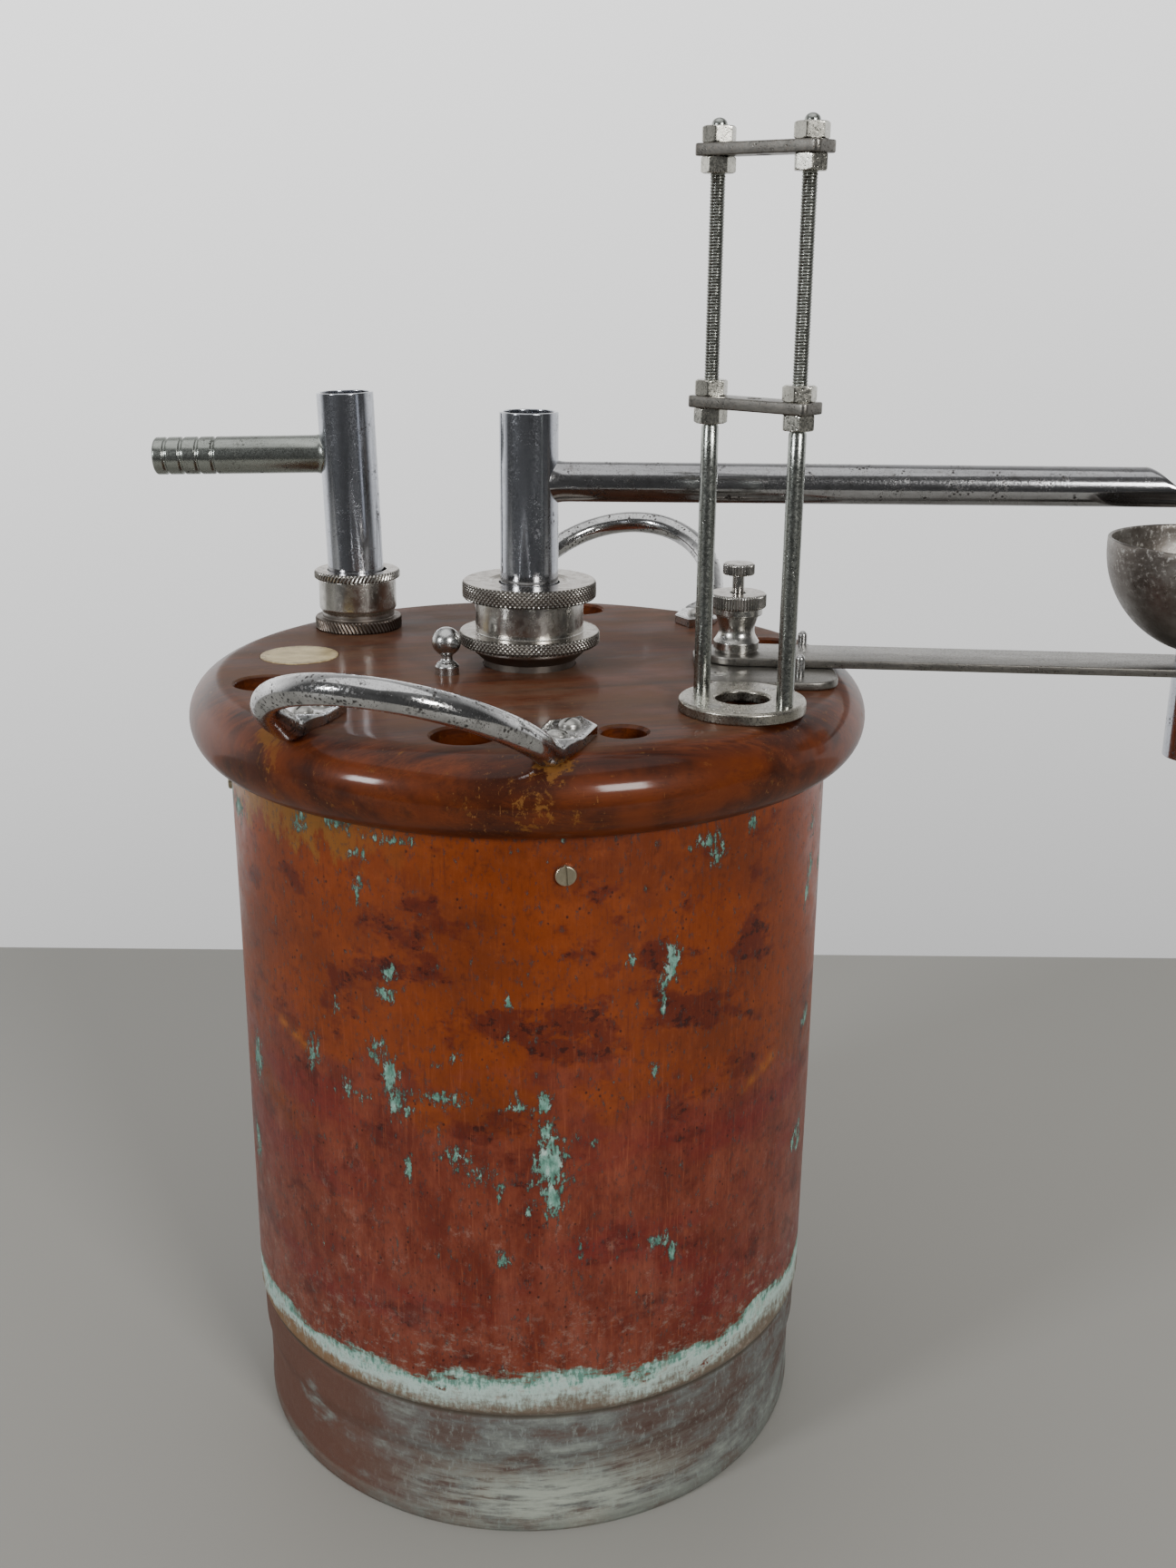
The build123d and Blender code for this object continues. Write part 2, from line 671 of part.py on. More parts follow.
def crossbar_nuts(height):
    """Nuts above and below a crossbar on both rods, each left at its own angle."""
    nuts = []
    turns = iter((4.0, 23.0, 37.0, 15.0))
    for place in rod_places():
        for z in (height - ROD_NUT_HEIGHT, height + BAR_THICK):
            nut = hex_nut(ROD_NUT_FLATS, ROD_THREAD_R + RUNNING_GAP, ROD_NUT_HEIGHT)
            nuts.append(place * Pos(0, 0, z) * Rot(0, 0, next(turns)) * nut)
    return group(nuts)


# ---------------------------------------------------------------- funnel arm
def arm_place(z=0.0):
    """The arm's own frame at its pivot: +X runs out along the arm."""
    return Pos(*PIVOT_XY, LID_TOP + z) * Rot(0, 0, ARM_ANGLE)


def plate_screw_places():
    """Where the base plate is screwed to the lid."""
    return [(58.7, -23.0), (58.7, 9.0), (90.0, -5.0)]


def pin_places():
    """The two stop pins: one beyond the arm's far edge, one clear of its near edge."""
    offset = ARM_WIDTH / 2 + PIN_R + PIN_GAP
    far = arm_place() * Pos(FAR_PIN_ALONG, offset, 0)
    return [Pos(*NEAR_PIN_XY, LID_TOP), far]


def arm_base_plate():
    """Flat plate with rounded corners that carries the pivot stud and the stop pins."""
    length, width = PLATE_X[1] - PLATE_X[0], PLATE_Y[1] - PLATE_Y[0]
    plate = extrude(RectangleRounded(length, width, PLATE_CORNER_R), PLATE_THICK)
    plate = chamfer(plate.edges().group_by(Axis.Z)[-1], 0.4)
    plate = Pos(sum(PLATE_X) / 2, sum(PLATE_Y) / 2, LID_TOP) * plate
    plate -= Pos(*PIVOT_XY, LID_TOP) * rod(STUD_R, 0, PLATE_THICK)
    for place in pin_places():
        plate -= place * rod(PIN_R, 0, PLATE_THICK)
    for x, y in plate_screw_places():
        sink = turned((0, 0), (2.4, 0), (1.2, -1.2), (1.2, -4), (0, -4))
        plate -= Pos(x, y, LID_TOP + PLATE_THICK) * sink
    return plate


def base_plate_screws():
    """Countersunk screws of the arm's base plate."""
    screw = sunk_screw(2.4, 1.2, 10.0)
    return group([Pos(x, y, LID_TOP + PLATE_THICK) * screw for x, y in plate_screw_places()])


def stop_pins():
    """Round-topped pins that limit the arm's swing."""
    top = PLATE_THICK + PIN_HEIGHT
    outline = [
        Line((0, 0, 0), (PIN_R, 0, 0)),
        Line((PIN_R, 0, 0), (PIN_R, 0, top - PIN_R)),
        crown(PIN_R, PIN_R, top - PIN_R),
        Line((0, 0, top), (0, 0, 0)),
    ]
    pin = revolve(make_face(outline), Axis.Z)
    return group([place * pin for place in pin_places()])


def pivot_stud():
    """Stud riveted in the base plate; the arm turns on it and the clamp nut screws onto it."""
    stud = tube(STUD_R, 1.55, 0, 22.0) + rod(STUD_R, 0, 4.0)
    return Pos(*PIVOT_XY, LID_TOP) * stud


def funnel_arm():
    """Flat arm with round ends, bored for the stud and for the drain tube."""
    length = ARM_REACH + ARM_WIDTH
    centre = ARM_REACH / 2
    bar = Pos(centre, 0, 0) * extrude(SlotOverall(length, ARM_WIDTH), ARM_THICK)
    bar -= rod(STUD_R + RUNNING_GAP, 0, ARM_THICK)
    bar -= Pos(ARM_REACH, 0, 0) * rod(DRAIN_NECK_R, 0, ARM_THICK)
    return arm_place(PLATE_THICK + ARM_GAP) * bar


def arm_boss():
    """Waisted bearing boss fixed on the arm, with a thin washer foot."""
    base = PLATE_THICK + ARM_GAP + ARM_THICK
    bore = STUD_R + RUNNING_GAP
    foot = base + WASHER_THICK
    section = [
        Line((bore, 0, base), (6.6, 0, base)),
        Line((6.6, 0, base), (6.6, 0, foot)),
        Line((6.6, 0, foot), (7.15, 0, foot)),
        Line((7.15, 0, foot), (7.15, 0, foot + 2.4)),
        Line((7.15, 0, foot + 2.4), (6.9, 0, foot + 2.8)),
        ThreePointArc((6.9, 0, foot + 2.8), (5.6, 0, foot + 7.0), (6.8, 0, 17.0)),
        Line((6.8, 0, 17.0), (bore, 0, 17.0)),
        Line((bore, 0, 17.0), (bore, 0, base)),
    ]
    return Pos(*PIVOT_XY, LID_TOP) * revolve(make_face(section), Axis.Z)


def clamp_nut():
    """Knurled nut with a smooth collar that clamps the boss down."""
    bore = STUD_R + RUNNING_GAP
    nut = turned(
        (bore, 17.1),
        (7.6, 17.1),
        (7.9, 17.4),
        (7.9, 19.5),
        (CLAMP_NUT_R - 0.3, 19.5),
        (CLAMP_NUT_R, 19.8),
        (CLAMP_NUT_R, 23.4),
        (CLAMP_NUT_R - 0.5, 23.9),
        (2.6, 23.9),
        (2.6, 22.4),
        (bore, 22.4),
    )
    return Pos(*PIVOT_XY, LID_TOP) * nut


def clamp_screw():
    """Small knurled locking screw in the head of the stud."""
    screw = turned(
        (0, 6.0), (1.5, 6.0), (1.5, 22.1), (1.9, 22.1), (1.9, 29.7), (CLAMP_SCREW_R - 0.3, 29.7),
        (CLAMP_SCREW_R, 30.0), (CLAMP_SCREW_R, 32.7), (CLAMP_SCREW_R - 0.5, 33.2), (0, 33.2),
    )
    return Pos(*PIVOT_XY, LID_TOP) * screw


def funnel_bowl():
    """Thin hemispherical bowl open at the top, with a drain hole at the bottom."""
    inner = BOWL_R - BOWL_WALL
    waist_out = sqrt(BOWL_R**2 - DRAIN_NECK_R**2)
    drain_in = DRAIN_R - DRAIN_WALL
    waist_in = sqrt(inner**2 - drain_in**2)
    turn = radians(45)
    section = [
        ThreePointArc((BOWL_R, 0, 0), (BOWL_R * cos(turn), 0, -BOWL_R * sin(turn)), (DRAIN_NECK_R, 0, -waist_out)),
        Line((DRAIN_NECK_R, 0, -waist_out), (drain_in, 0, -waist_out)),
        Line((drain_in, 0, -waist_out), (drain_in, 0, -waist_in)),
        ThreePointArc((drain_in, 0, -waist_in), (inner * cos(turn), 0, -inner * sin(turn)), (inner, 0, 0)),
        Line((inner, 0, 0), (inner, 0, BOWL_RIM)),
        Line((inner, 0, BOWL_RIM), (BOWL_R, 0, BOWL_RIM)),
        Line((BOWL_R, 0, BOWL_RIM), (BOWL_R, 0, 0)),
    ]
    return arm_place(BOWL_CENTRE_Z) * Pos(ARM_REACH, 0, 0) * revolve(make_face(section), Axis.Z)


def funnel_drain_tube():
    """Drain tube soldered under the bowl, with a shoulder that seats on the arm's underside."""
    shoulder = PLATE_THICK + ARM_GAP
    top = BOWL_CENTRE_Z - sqrt(BOWL_R**2 - DRAIN_NECK_R**2)
    inner = DRAIN_R - DRAIN_WALL
    pipe = turned(
        (inner, DRAIN_BOTTOM), (DRAIN_R, DRAIN_BOTTOM), (DRAIN_R, shoulder), (DRAIN_NECK_R, shoulder),
        (DRAIN_NECK_R, top), (inner, top),
    )
    return arm_place() * Pos(ARM_REACH, 0, 0) * pipe


# ---------------------------------------------------------------- write the parts
PARTS = {
    "copper_can": copper_can(),
    "can_base": rod(CAN_SEAT_R - CAN_WALL, 0, CAN_BASE_THICK),
    "can_screws": can_screws(),
    "wooden_lid": wooden_lid(),
    "lid_plug": lid_plug(),
    "label_disc": label_disc(),
    "front_handle": handle(HANDLE_ANGLES[0]),
    "rear_handle": handle(HANDLE_ANGLES[1]),
    "handle_screws": handle_screws(),
    "ball_eye_post": ball_eye_post(),
    "outlet_neck": outlet_neck(),
    "outlet_gland_body": outlet_gland_body(),
    "outlet_gland_packing": outlet_gland_packing(),
    "outlet_gland_nut": outlet_gland_nut(),
    "outlet_tee_tube": outlet_tee_tube(),
    "outlet_spout": outlet_spout(),
    "inlet_gland_body": inlet_gland_body(),
    "inlet_gland_packing": inlet_gland_packing(),
    "inlet_gland_nut": inlet_gland_nut(),
    "inlet_tee_tube": inlet_tee_tube(),
    "inlet_hose_nozzle": inlet_hose_nozzle(),
    "neck_lock_nuts": neck_lock_nuts(),
    "coil_unions": group(coil_unions()),
    "water_coil": water_coil(),
    "inlet_drop_pipe": inlet_drop_pipe(),
    "outlet_riser": outlet_riser(),
    "guide_ring_plate": guide_ring_plate(),
    "ring_plate_screws": ring_plate_screws(),
    "guide_rod_left": rod_places()[0] * guide_rod(),
    "guide_rod_right": rod_places()[1] * guide_rod(),
    "lower_crossbar": crossbar(LOWER_BAR_Z),
    "lower_crossbar_nuts": crossbar_nuts(LOWER_BAR_Z),
    "upper_crossbar": crossbar(UPPER_BAR_Z),
    "upper_crossbar_nuts": crossbar_nuts(UPPER_BAR_Z),
    "arm_base_plate": arm_base_plate(),
    "base_plate_screws": base_plate_screws(),
    "stop_pins": stop_pins(),
    "pivot_stud": pivot_stud(),
    "funnel_arm": funnel_arm(),
    "arm_boss": arm_boss(),
    "clamp_nut": clamp_nut(),
    "clamp_screw": clamp_screw(),
    "funnel_bowl": funnel_bowl(),
    "funnel_drain_tube": funnel_drain_tube(),
}

for name, shape in PARTS.items():
    save(name, shape)
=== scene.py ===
import bpy
import numpy as np
from mathutils import Matrix, Vector


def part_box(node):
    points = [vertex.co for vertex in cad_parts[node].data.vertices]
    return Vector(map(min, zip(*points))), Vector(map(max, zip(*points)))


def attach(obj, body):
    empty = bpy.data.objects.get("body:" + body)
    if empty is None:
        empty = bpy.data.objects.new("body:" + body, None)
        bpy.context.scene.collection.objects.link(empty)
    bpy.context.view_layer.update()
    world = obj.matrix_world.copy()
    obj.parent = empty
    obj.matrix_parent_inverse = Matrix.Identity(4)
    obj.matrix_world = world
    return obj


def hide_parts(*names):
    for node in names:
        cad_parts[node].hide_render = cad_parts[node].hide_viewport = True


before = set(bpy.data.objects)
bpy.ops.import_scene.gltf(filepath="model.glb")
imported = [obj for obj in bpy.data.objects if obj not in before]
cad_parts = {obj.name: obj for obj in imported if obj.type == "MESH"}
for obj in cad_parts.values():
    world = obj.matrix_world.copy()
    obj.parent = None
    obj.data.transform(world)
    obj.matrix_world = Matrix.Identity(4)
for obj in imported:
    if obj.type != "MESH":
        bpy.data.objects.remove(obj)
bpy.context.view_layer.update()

# ---------------------------------------------------------------- bench, light and camera
# The vessel stands on a plain pale bench, near the bench's back edge, in soft room light.
# The bench is one sheet with eased edges; three broad panels and a pale room light it.


def lay_sheet(name, rows):
    """Mesh over a grid of points (rows x columns x 3, in metres)."""
    tall, wide = rows.shape[:2]
    index = np.arange(tall * wide).reshape(tall, wide)
    faces = np.stack([index[:-1, :-1], index[:-1, 1:], index[1:, 1:], index[1:, :-1]], -1).reshape(-1, 4)
    mesh = bpy.data.meshes.new(name)
    mesh.from_pydata(rows.reshape(-1, 3), [], faces)
    sheet = bpy.data.objects.new(name, mesh)
    bpy.context.scene.collection.objects.link(sheet)
    return sheet


# The edge's profile (y, z) is a straight run, then a quarter circle of 4 mm, carried along X.
around = np.linspace(0, np.pi / 2, 9)
edge_y = np.concatenate([[-0.604], -0.6 - 0.004 * np.cos(around), 0.352 + 0.004 * np.sin(around), [0.356]])
edge_z = np.concatenate([[-0.05], -0.004 + 0.004 * np.sin(around), -0.004 + 0.004 * np.cos(around), [-0.05]])
across = np.linspace(-1.8, 1.8, 5)
bench = lay_sheet(
    "bench_top",
    np.stack(np.broadcast_arrays(across[None, :], edge_y[:, None], edge_z[:, None]), -1),
)
bench_paint = bpy.data.materials.new("bench_paint")
bench_paint.use_nodes = True
shader = bench_paint.node_tree.nodes["Principled BSDF"]
shader.inputs["Base Color"].default_value = (0.295, 0.287, 0.262, 1)
shader.inputs["Roughness"].default_value = 0.6
bench.data.materials.append(bench_paint)


def light_panel(name, at, size, power, tint=(1, 1, 1)):
    """Square soft light at a place, facing the vessel's middle."""
    lamp = bpy.data.lights.new(name, "AREA")
    lamp.size, lamp.energy, lamp.color = size, power, tint
    panel = bpy.data.objects.new(name, lamp)
    aim = np.array((0.03, 0.0, 0.2)) - np.array(at)
    panel.matrix_world = Matrix.Translation(at) @ Vector(aim).to_track_quat("-Z", "Y").to_matrix().to_4x4()
    bpy.context.scene.collection.objects.link(panel)


light_panel("overhead_panel", (-0.2, -0.2, 2.2), 2.4, 19)
light_panel("right_window", (1.1, -1.76, 1.02), 0.55, 35, (1.0, 0.99, 0.97))
light_panel("left_window", (-1.65, -1.3, 0.9), 0.38, 24, (0.96, 0.98, 1.0))

# The room is a bright wall behind and a darker space in front. Each factor is a ramp over one
# part of the direction looked in: x to the side, y to the back, z upwards.
world = bpy.data.worlds.new("pale_room")
world.use_nodes = True
bpy.context.scene.world = world
sky = world.node_tree
place = sky.nodes.new("ShaderNodeTexCoord")
parts = sky.nodes.new("ShaderNodeSeparateXYZ")
sky.links.new(place.outputs["Generated"], parts.inputs[0])


def by_direction(axis, *stops):
    """Grey levels spread over one part of the direction, from -1 to 1."""
    half = sky.nodes.new("ShaderNodeMath")
    half.operation = "MULTIPLY_ADD"
    half.inputs[1].default_value = 0.5
    half.inputs[2].default_value = 0.5
    ramp = sky.nodes.new("ShaderNodeValToRGB")
    steps = ramp.color_ramp.elements
    while len(steps) < len(stops):
        steps.new(0.5)
    for step, (where, level) in zip(steps, stops):
        step.position, step.color = where / 2 + 0.5, (level, level, level, 1)
    sky.links.new(parts.outputs[axis], half.inputs[0])
    sky.links.new(half.outputs[0], ramp.inputs[0])
    return ramp.outputs[0]


def blend(kind, factor, first, second):
    """Two colours blended by a factor."""
    node = sky.nodes.new("ShaderNodeMix")
    node.data_type, node.blend_type = "RGBA", kind
    if isinstance(factor, float):
        node.inputs[0].default_value = factor
    else:
        sky.links.new(factor, node.inputs[0])
    sky.links.new(first, node.inputs[6])
    sky.links.new(second, node.inputs[7])
    return node.outputs[2]


wall_light = by_direction("Z", (-0.42, 0.3), (0.14, 0.74), (0.45, 0.4), (0.9, 0.14))
room_dark = by_direction("Z", (-0.5, 0.035), (-0.05, 0.04), (0.2, 0.03), (0.6, 0.05), (0.9, 0.12))
to_back = by_direction("Y", (-0.05, 0.0), (0.42, 1.0))
to_right = by_direction("X", (-0.4, 1.0), (0.5, 0.82))
room = blend("MULTIPLY", 1.0, blend("MIX", to_back, room_dark, wall_light), to_right)
sky.links.new(room, sky.nodes["Background"].inputs["Color"])
sky.nodes["Background"].inputs["Strength"].default_value = 2.5

# The camera looks along +Y and down by 18.1 degrees, with a slight roll.
down, roll = np.radians(18.115), np.radians(0.538)
ahead = np.array((0, np.cos(down), -np.sin(down)))
upright = np.array((0, np.sin(down), np.cos(down)))
level = np.array((1.0, 0, 0))
right = np.cos(roll) * level + np.sin(roll) * upright
top = np.cos(roll) * upright - np.sin(roll) * level
pose = np.eye(4)
pose[:3] = np.stack([right, top, -ahead, (0.01907, -0.5034, 0.38243)], 1)
camera_data = bpy.data.cameras.new("camera")
camera_data.lens, camera_data.sensor_width = 37.13, 36.0
camera_data.clip_start, camera_data.clip_end = 0.01, 30.0
camera = bpy.data.objects.new("camera", camera_data)
camera.matrix_world = Matrix(pose.tolist())
bpy.context.scene.collection.objects.link(camera)
bpy.context.scene.camera = camera

# ---------------------------------------------------------------- copper can
# The can is spun from thin copper sheet, with a narrower foot below a rolled shoulder.
# Its lacquer has gone, leaving orange-brown above, dark red below, and green salts in streaks
# and in a crust round the shoulder where water stood.


def paint(red, green, blue):
    """Linear colour of a 0-255 screen colour."""
    c = np.array((red, green, blue)) / 255
    return (*np.where(c <= 0.04045, c / 12.92, ((c + 0.055) / 1.055) ** 2.4).tolist(), 1.0)


class Finish:
    """A surface finish built of nodes: each method adds one and hands on its result. Sizes are in mm."""

    def __init__(self, name, **settings):
        self.material = bpy.data.materials.new(name)
        self.material.use_nodes = True
        self.tree = self.material.node_tree
        self.shader = self.tree.nodes["Principled BSDF"]
        self.coords = self.add("TexCoord", out="Object")
        self.normal = None
        for socket, value in settings.items():
            self.set(socket, value)

    def feed(self, socket, value):
        """Links a node's result to a socket, or writes a plain value on it."""
        if isinstance(value, bpy.types.NodeSocket):
            self.tree.links.new(value, socket)
        else:
            socket.default_value = value

    def add(self, kind, inputs=None, out=0, **settings):
        """One shader node with its settings and inputs; gives back one of its outputs."""
        node = self.tree.nodes.new("ShaderNode" + kind)
        for key, value in settings.items():
            setattr(node, key, value)
        for key, value in (inputs or {}).items():
            self.feed(node.inputs[key], value)
        return node.outputs[out]

    def set(self, socket, value):
        self.feed(self.shader.inputs[socket.replace("_", " ")], value)

    def at(self, size, centre=(0, 0, 0), turn=0.0):
        """Object coordinates measured from a centre, turned about Z, in units of a size along each axis."""
        size = np.broadcast_to(np.array(size, float), 3) / 1000
        return self.add(
            "Mapping",
            {
                "Vector": self.coords,
                "Location": tuple(np.array(centre) / 1000),
                "Rotation": (0, 0, np.radians(turn)),
                "Scale": tuple(size),
            },
            vector_type="TEXTURE",
        )

    def noise(self, size, detail=4.0, roughness=0.55, twist=0.0, centre=(0, 0, 0), turn=0.0):
        """Clouds from 0 to 1 whose lumps are about one size across."""
        ends = {"Vector": self.at(size, centre, turn), "Scale": 1.0, "Detail": detail}
        return self.add("TexNoise", ends | {"Roughness": roughness, "Distortion": twist})

    def cells(self, size, centre=(0, 0, 0)):
        """Distance from scattered points, one to each cell of a size."""
        ends = {"Vector": self.at(size, centre), "Scale": 1.0, "Randomness": 1.0}
        return self.add("TexVoronoi", ends, out="Distance")

    def mark(self, name):
        """A value painted on the mesh."""
        return self.add("Attribute", out="Fac", attribute_name=name)

    def along(self, axis):
        """Object coordinate in mm."""
        split = self.add("SeparateXYZ", {0: self.coords}, out=axis)
        return self.times(split, 1000.0)

    def maths(self, operation, first, second=0.0, clamp=False):
        return self.add("Math", {0: first, 1: second}, operation=operation, use_clamp=clamp)

    def times(self, first, second):
        return self.maths("MULTIPLY", first, second)

    def plus(self, first, second):
        return self.maths("ADD", first, second)

    def most(self, first, second):
        return self.maths("MAXIMUM", first, second)

    def span(self, value, low, high, start=0.0, end=1.0):
        """Eased step of a value from low to high."""
        ends = {"Value": value, "From Min": low, "From Max": high, "To Min": start, "To Max": end}
        return self.add("MapRange", ends, interpolation_type="SMOOTHSTEP")

    def ramp(self, value, *stops):
        """Colours spread over a value; each stop is its place and its 0-255 screen colour."""
        out = self.add("ValToRGB", {0: value})
        steps = out.node.color_ramp.elements
        while len(steps) < len(stops):
            steps.new(0.5)
        for step, (where, *colour) in zip(steps, stops):
            step.position, step.color = where, paint(*colour)
        return out

    def mix(self, amount, first, second):
        """The second colour over the first."""
        node = self.add("Mix", data_type="RGBA").node
        self.feed(node.inputs[0], amount)
        self.feed(node.inputs[6], first)
        self.feed(node.inputs[7], second)
        return node.outputs[2]

    def two_tone(self, value, tone, share):
        """Starts the finish's own colour: a tone, and a share of its brightness where a value is high."""
        self.colour = self.mix(self.span(value, 0.35, 0.7), (*tone, 1), (*(share * t for t in tone), 1))

    def lay(self, amount, *colour):
        """Lays one more colour, a node's or three screen numbers, over the finish's own colour so far."""
        self.colour = self.mix(amount, self.colour, colour[0] if len(colour) == 1 else paint(*colour))

    def bump(self, height, depth, strength=1.0):
        """Relief of a depth in mm, laid over any relief before it."""
        ends = {"Height": height, "Distance": depth / 1000, "Strength": strength}
        if self.normal:
            ends["Normal"] = self.normal
        self.normal = self.add("Bump", ends)
        self.set("Normal", self.normal)


def corners(node):
    """Lowest and highest corner and middle of a CAD piece, in mm."""
    low, high = (np.array(c) * 1000 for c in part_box(node))
    return low, high, (low + high) / 2


def eased(outline, radius, closed=False):
    """Outline with each corner turned into a short curve: (1-t)^2 a + 2t(1-t) corner + t^2 c, where a and
    c lie on the two sides, a radius from the corner. One more point a little further along each side keeps
    that side's shading flat."""
    p = np.array(outline, float)
    back, on = np.roll(p, 1, 0) - p, np.roll(p, -1, 0) - p
    back_len, on_len = np.linalg.norm(back, axis=1), np.linalg.norm(on, axis=1)
    cut = np.minimum(radius, 0.42 * np.minimum(back_len, on_len))
    if not closed:
        cut[[0, -1]] = 0
    hold = np.minimum(0.2, 0.06 * np.minimum(back_len, on_len)) * (cut > 0)
    t = np.linspace(0, 1, 4)[None, :, None]
    a, c = (p + side * (cut / size)[:, None] for side, size in ((back, back_len), (on, on_len)))
    curve = (1 - t) ** 2 * a[:, None] + 2 * t * (1 - t) * p[:, None] + t**2 * c[:, None]
    before = p + back * ((cut + hold) / back_len)[:, None]
    after = p + on * ((cut + hold) / on_len)[:, None]
    curve = np.concatenate([before[:, None], curve, after[:, None]], 1).reshape(-1, 2)
    step = np.linalg.norm(curve - np.roll(curve, 1, 0), axis=1)
    step[0] = step[0] if closed else 1
    return curve[step > 1e-6]


def stepped(outline, step, low=-1e9, high=1e9, closed=False):
    """Outline with more points on it, no further apart than a step where its height is in a range."""
    p = np.concatenate([outline, outline[:1]]) if closed else np.array(outline)
    length = np.linalg.norm(np.diff(p, axis=0), axis=1)
    middle = (p[1:, 1] + p[:-1, 1]) / 2
    count = np.where((middle > low) & (middle < high), np.ceil(length / step), 1).astype(int)
    start = np.repeat(np.arange(len(length)), count)
    share = (np.arange(count.sum()) - np.repeat(np.cumsum(count) - count, count)) / np.repeat(count, count)
    where = start + share if closed else np.append(start + share, len(length))
    return np.stack([np.interp(where, np.arange(len(p)), p[:, k]) for k in (0, 1)], 1)


def skin(name, grids, ring=False, sharp=34.0, marks=None):
    """Closed mesh over one or more grids of points (rows x columns x 3, in mm). Columns close on themselves;
    rows close too if ring is true, and otherwise one face caps each end. Faces are turned outwards."""
    grids = grids if isinstance(grids, list) else [grids]
    points, quads, caps, first = [], [], [], 0
    for grid in grids:
        tall, wide = grid.shape[:2]
        index = first + np.arange(tall * wide).reshape(tall, wide)
        down_rows = np.roll(index, -1, 0) if ring else index[1:]
        rows = index if ring else index[:-1]
        quad = np.stack([rows, np.roll(rows, -1, 1), np.roll(down_rows, -1, 1), down_rows], -1).reshape(-1, 4)
        a, b, c, d = (grid.reshape(-1, 3)[quad[:, k] - first] for k in range(4))
        volume = np.einsum("ij,ij->", a, np.cross(b, c)) + np.einsum("ij,ij->", a, np.cross(c, d))
        ends = [] if ring else [index[0, ::-1], index[-1]]
        for end in ends:
            loop = grid.reshape(-1, 3)[end - first]
            volume += np.einsum("ij,ij->", loop, np.cross(np.roll(loop, -1, 0), loop.mean(0)[None]))
        if volume < 0:
            quad, ends = quad[:, ::-1], [end[::-1] for end in ends]
        points.append(grid.reshape(-1, 3))
        quads.append(quad)
        caps += ends
        first += tall * wide
    mesh = bpy.data.meshes.new(name)
    faces = [*np.concatenate(quads).tolist(), *[c.tolist() for c in caps]]
    mesh.from_pydata(np.concatenate(points) / 1000, [], faces)
    for mark, values in (marks or {}).items():
        layer = mesh.attributes.new(mark, "FLOAT", "POINT")
        layer.data.foreach_set("value", np.ascontiguousarray(values, np.float32).ravel())
    mesh.polygons.foreach_set("use_smooth", np.ones(len(faces), bool))
    mesh.set_sharp_from_angle(angle=np.radians(sharp))
    piece = bpy.data.objects.new(name, mesh)
    bpy.context.scene.collection.objects.link(piece)
    return piece


def lathe(outline, columns, centre=(0, 0, 0), bite=None, frame_of=None):
    """Points of a turned surface: (r cos a, r sin a, z) for each outline point (r, z) and angle a, with r
    less what the function bite(a, r, z) takes off it; then turned by the matrix frame_of, then moved."""
    a = np.arange(columns) / columns * 2 * np.pi
    r, z = outline[:, :1], outline[:, 1:]
    cut = np.zeros((len(outline), columns)) if bite is None else bite(a[None, :], r, z)
    r = r - cut
    grid = np.stack([r * np.cos(a), r * np.sin(a), z + 0 * r], -1)
    if frame_of is not None:
        grid = grid @ frame_of.T
    return grid + np.array(centre)


def dress(piece, finish, body, slot, *nodes):
    """Gives a new piece its finish and its body, and hides the CAD pieces it stands for. The slot is not
    used.
    """
    piece.data.materials.append(finish.material)
    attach(piece, body)
    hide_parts(*nodes)
    return piece


def coat(finish, *nodes):
    """Gives CAD pieces that keep their own shape a finish."""
    for node in nodes:
        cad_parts[node].data.materials.clear()
        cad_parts[node].data.materials.append(finish.material)


can_radius = 95.2
# Half section of the sheet, foot first and up the outside, then down the inside: (radius, height).
can_section = [
    (91.8, 0), (92.5, 0), (93.2, 1.2), (93.3, 4.0), (93.0, 5.2), (93.0, 26), (94.2, 31), (94.4, 43.4),
    (93.9, 44.6), (94.2, 45.4), (95.4, 47.2), (can_radius, 52), (can_radius, 233.5), (94.0, 233.5),
    (94.0, 48), (91.8, 42),
]
can_rows = stepped(eased(can_section, 0.7, closed=True), 1.7, closed=True)


def can_dents(a, r, z):
    """Shallow hollows left by the spinning and by handling: slow waves in angle and height, inwards only."""
    wave = np.sin(3 * a + z / 31) + np.sin(5 * a - z / 47 + 1.3) + 0.6 * np.sin(9 * a + z / 19)
    return 0.06 * (wave + 2.6) * (r > 92.5)


can_grid = lathe(can_rows, 420, bite=can_dents)
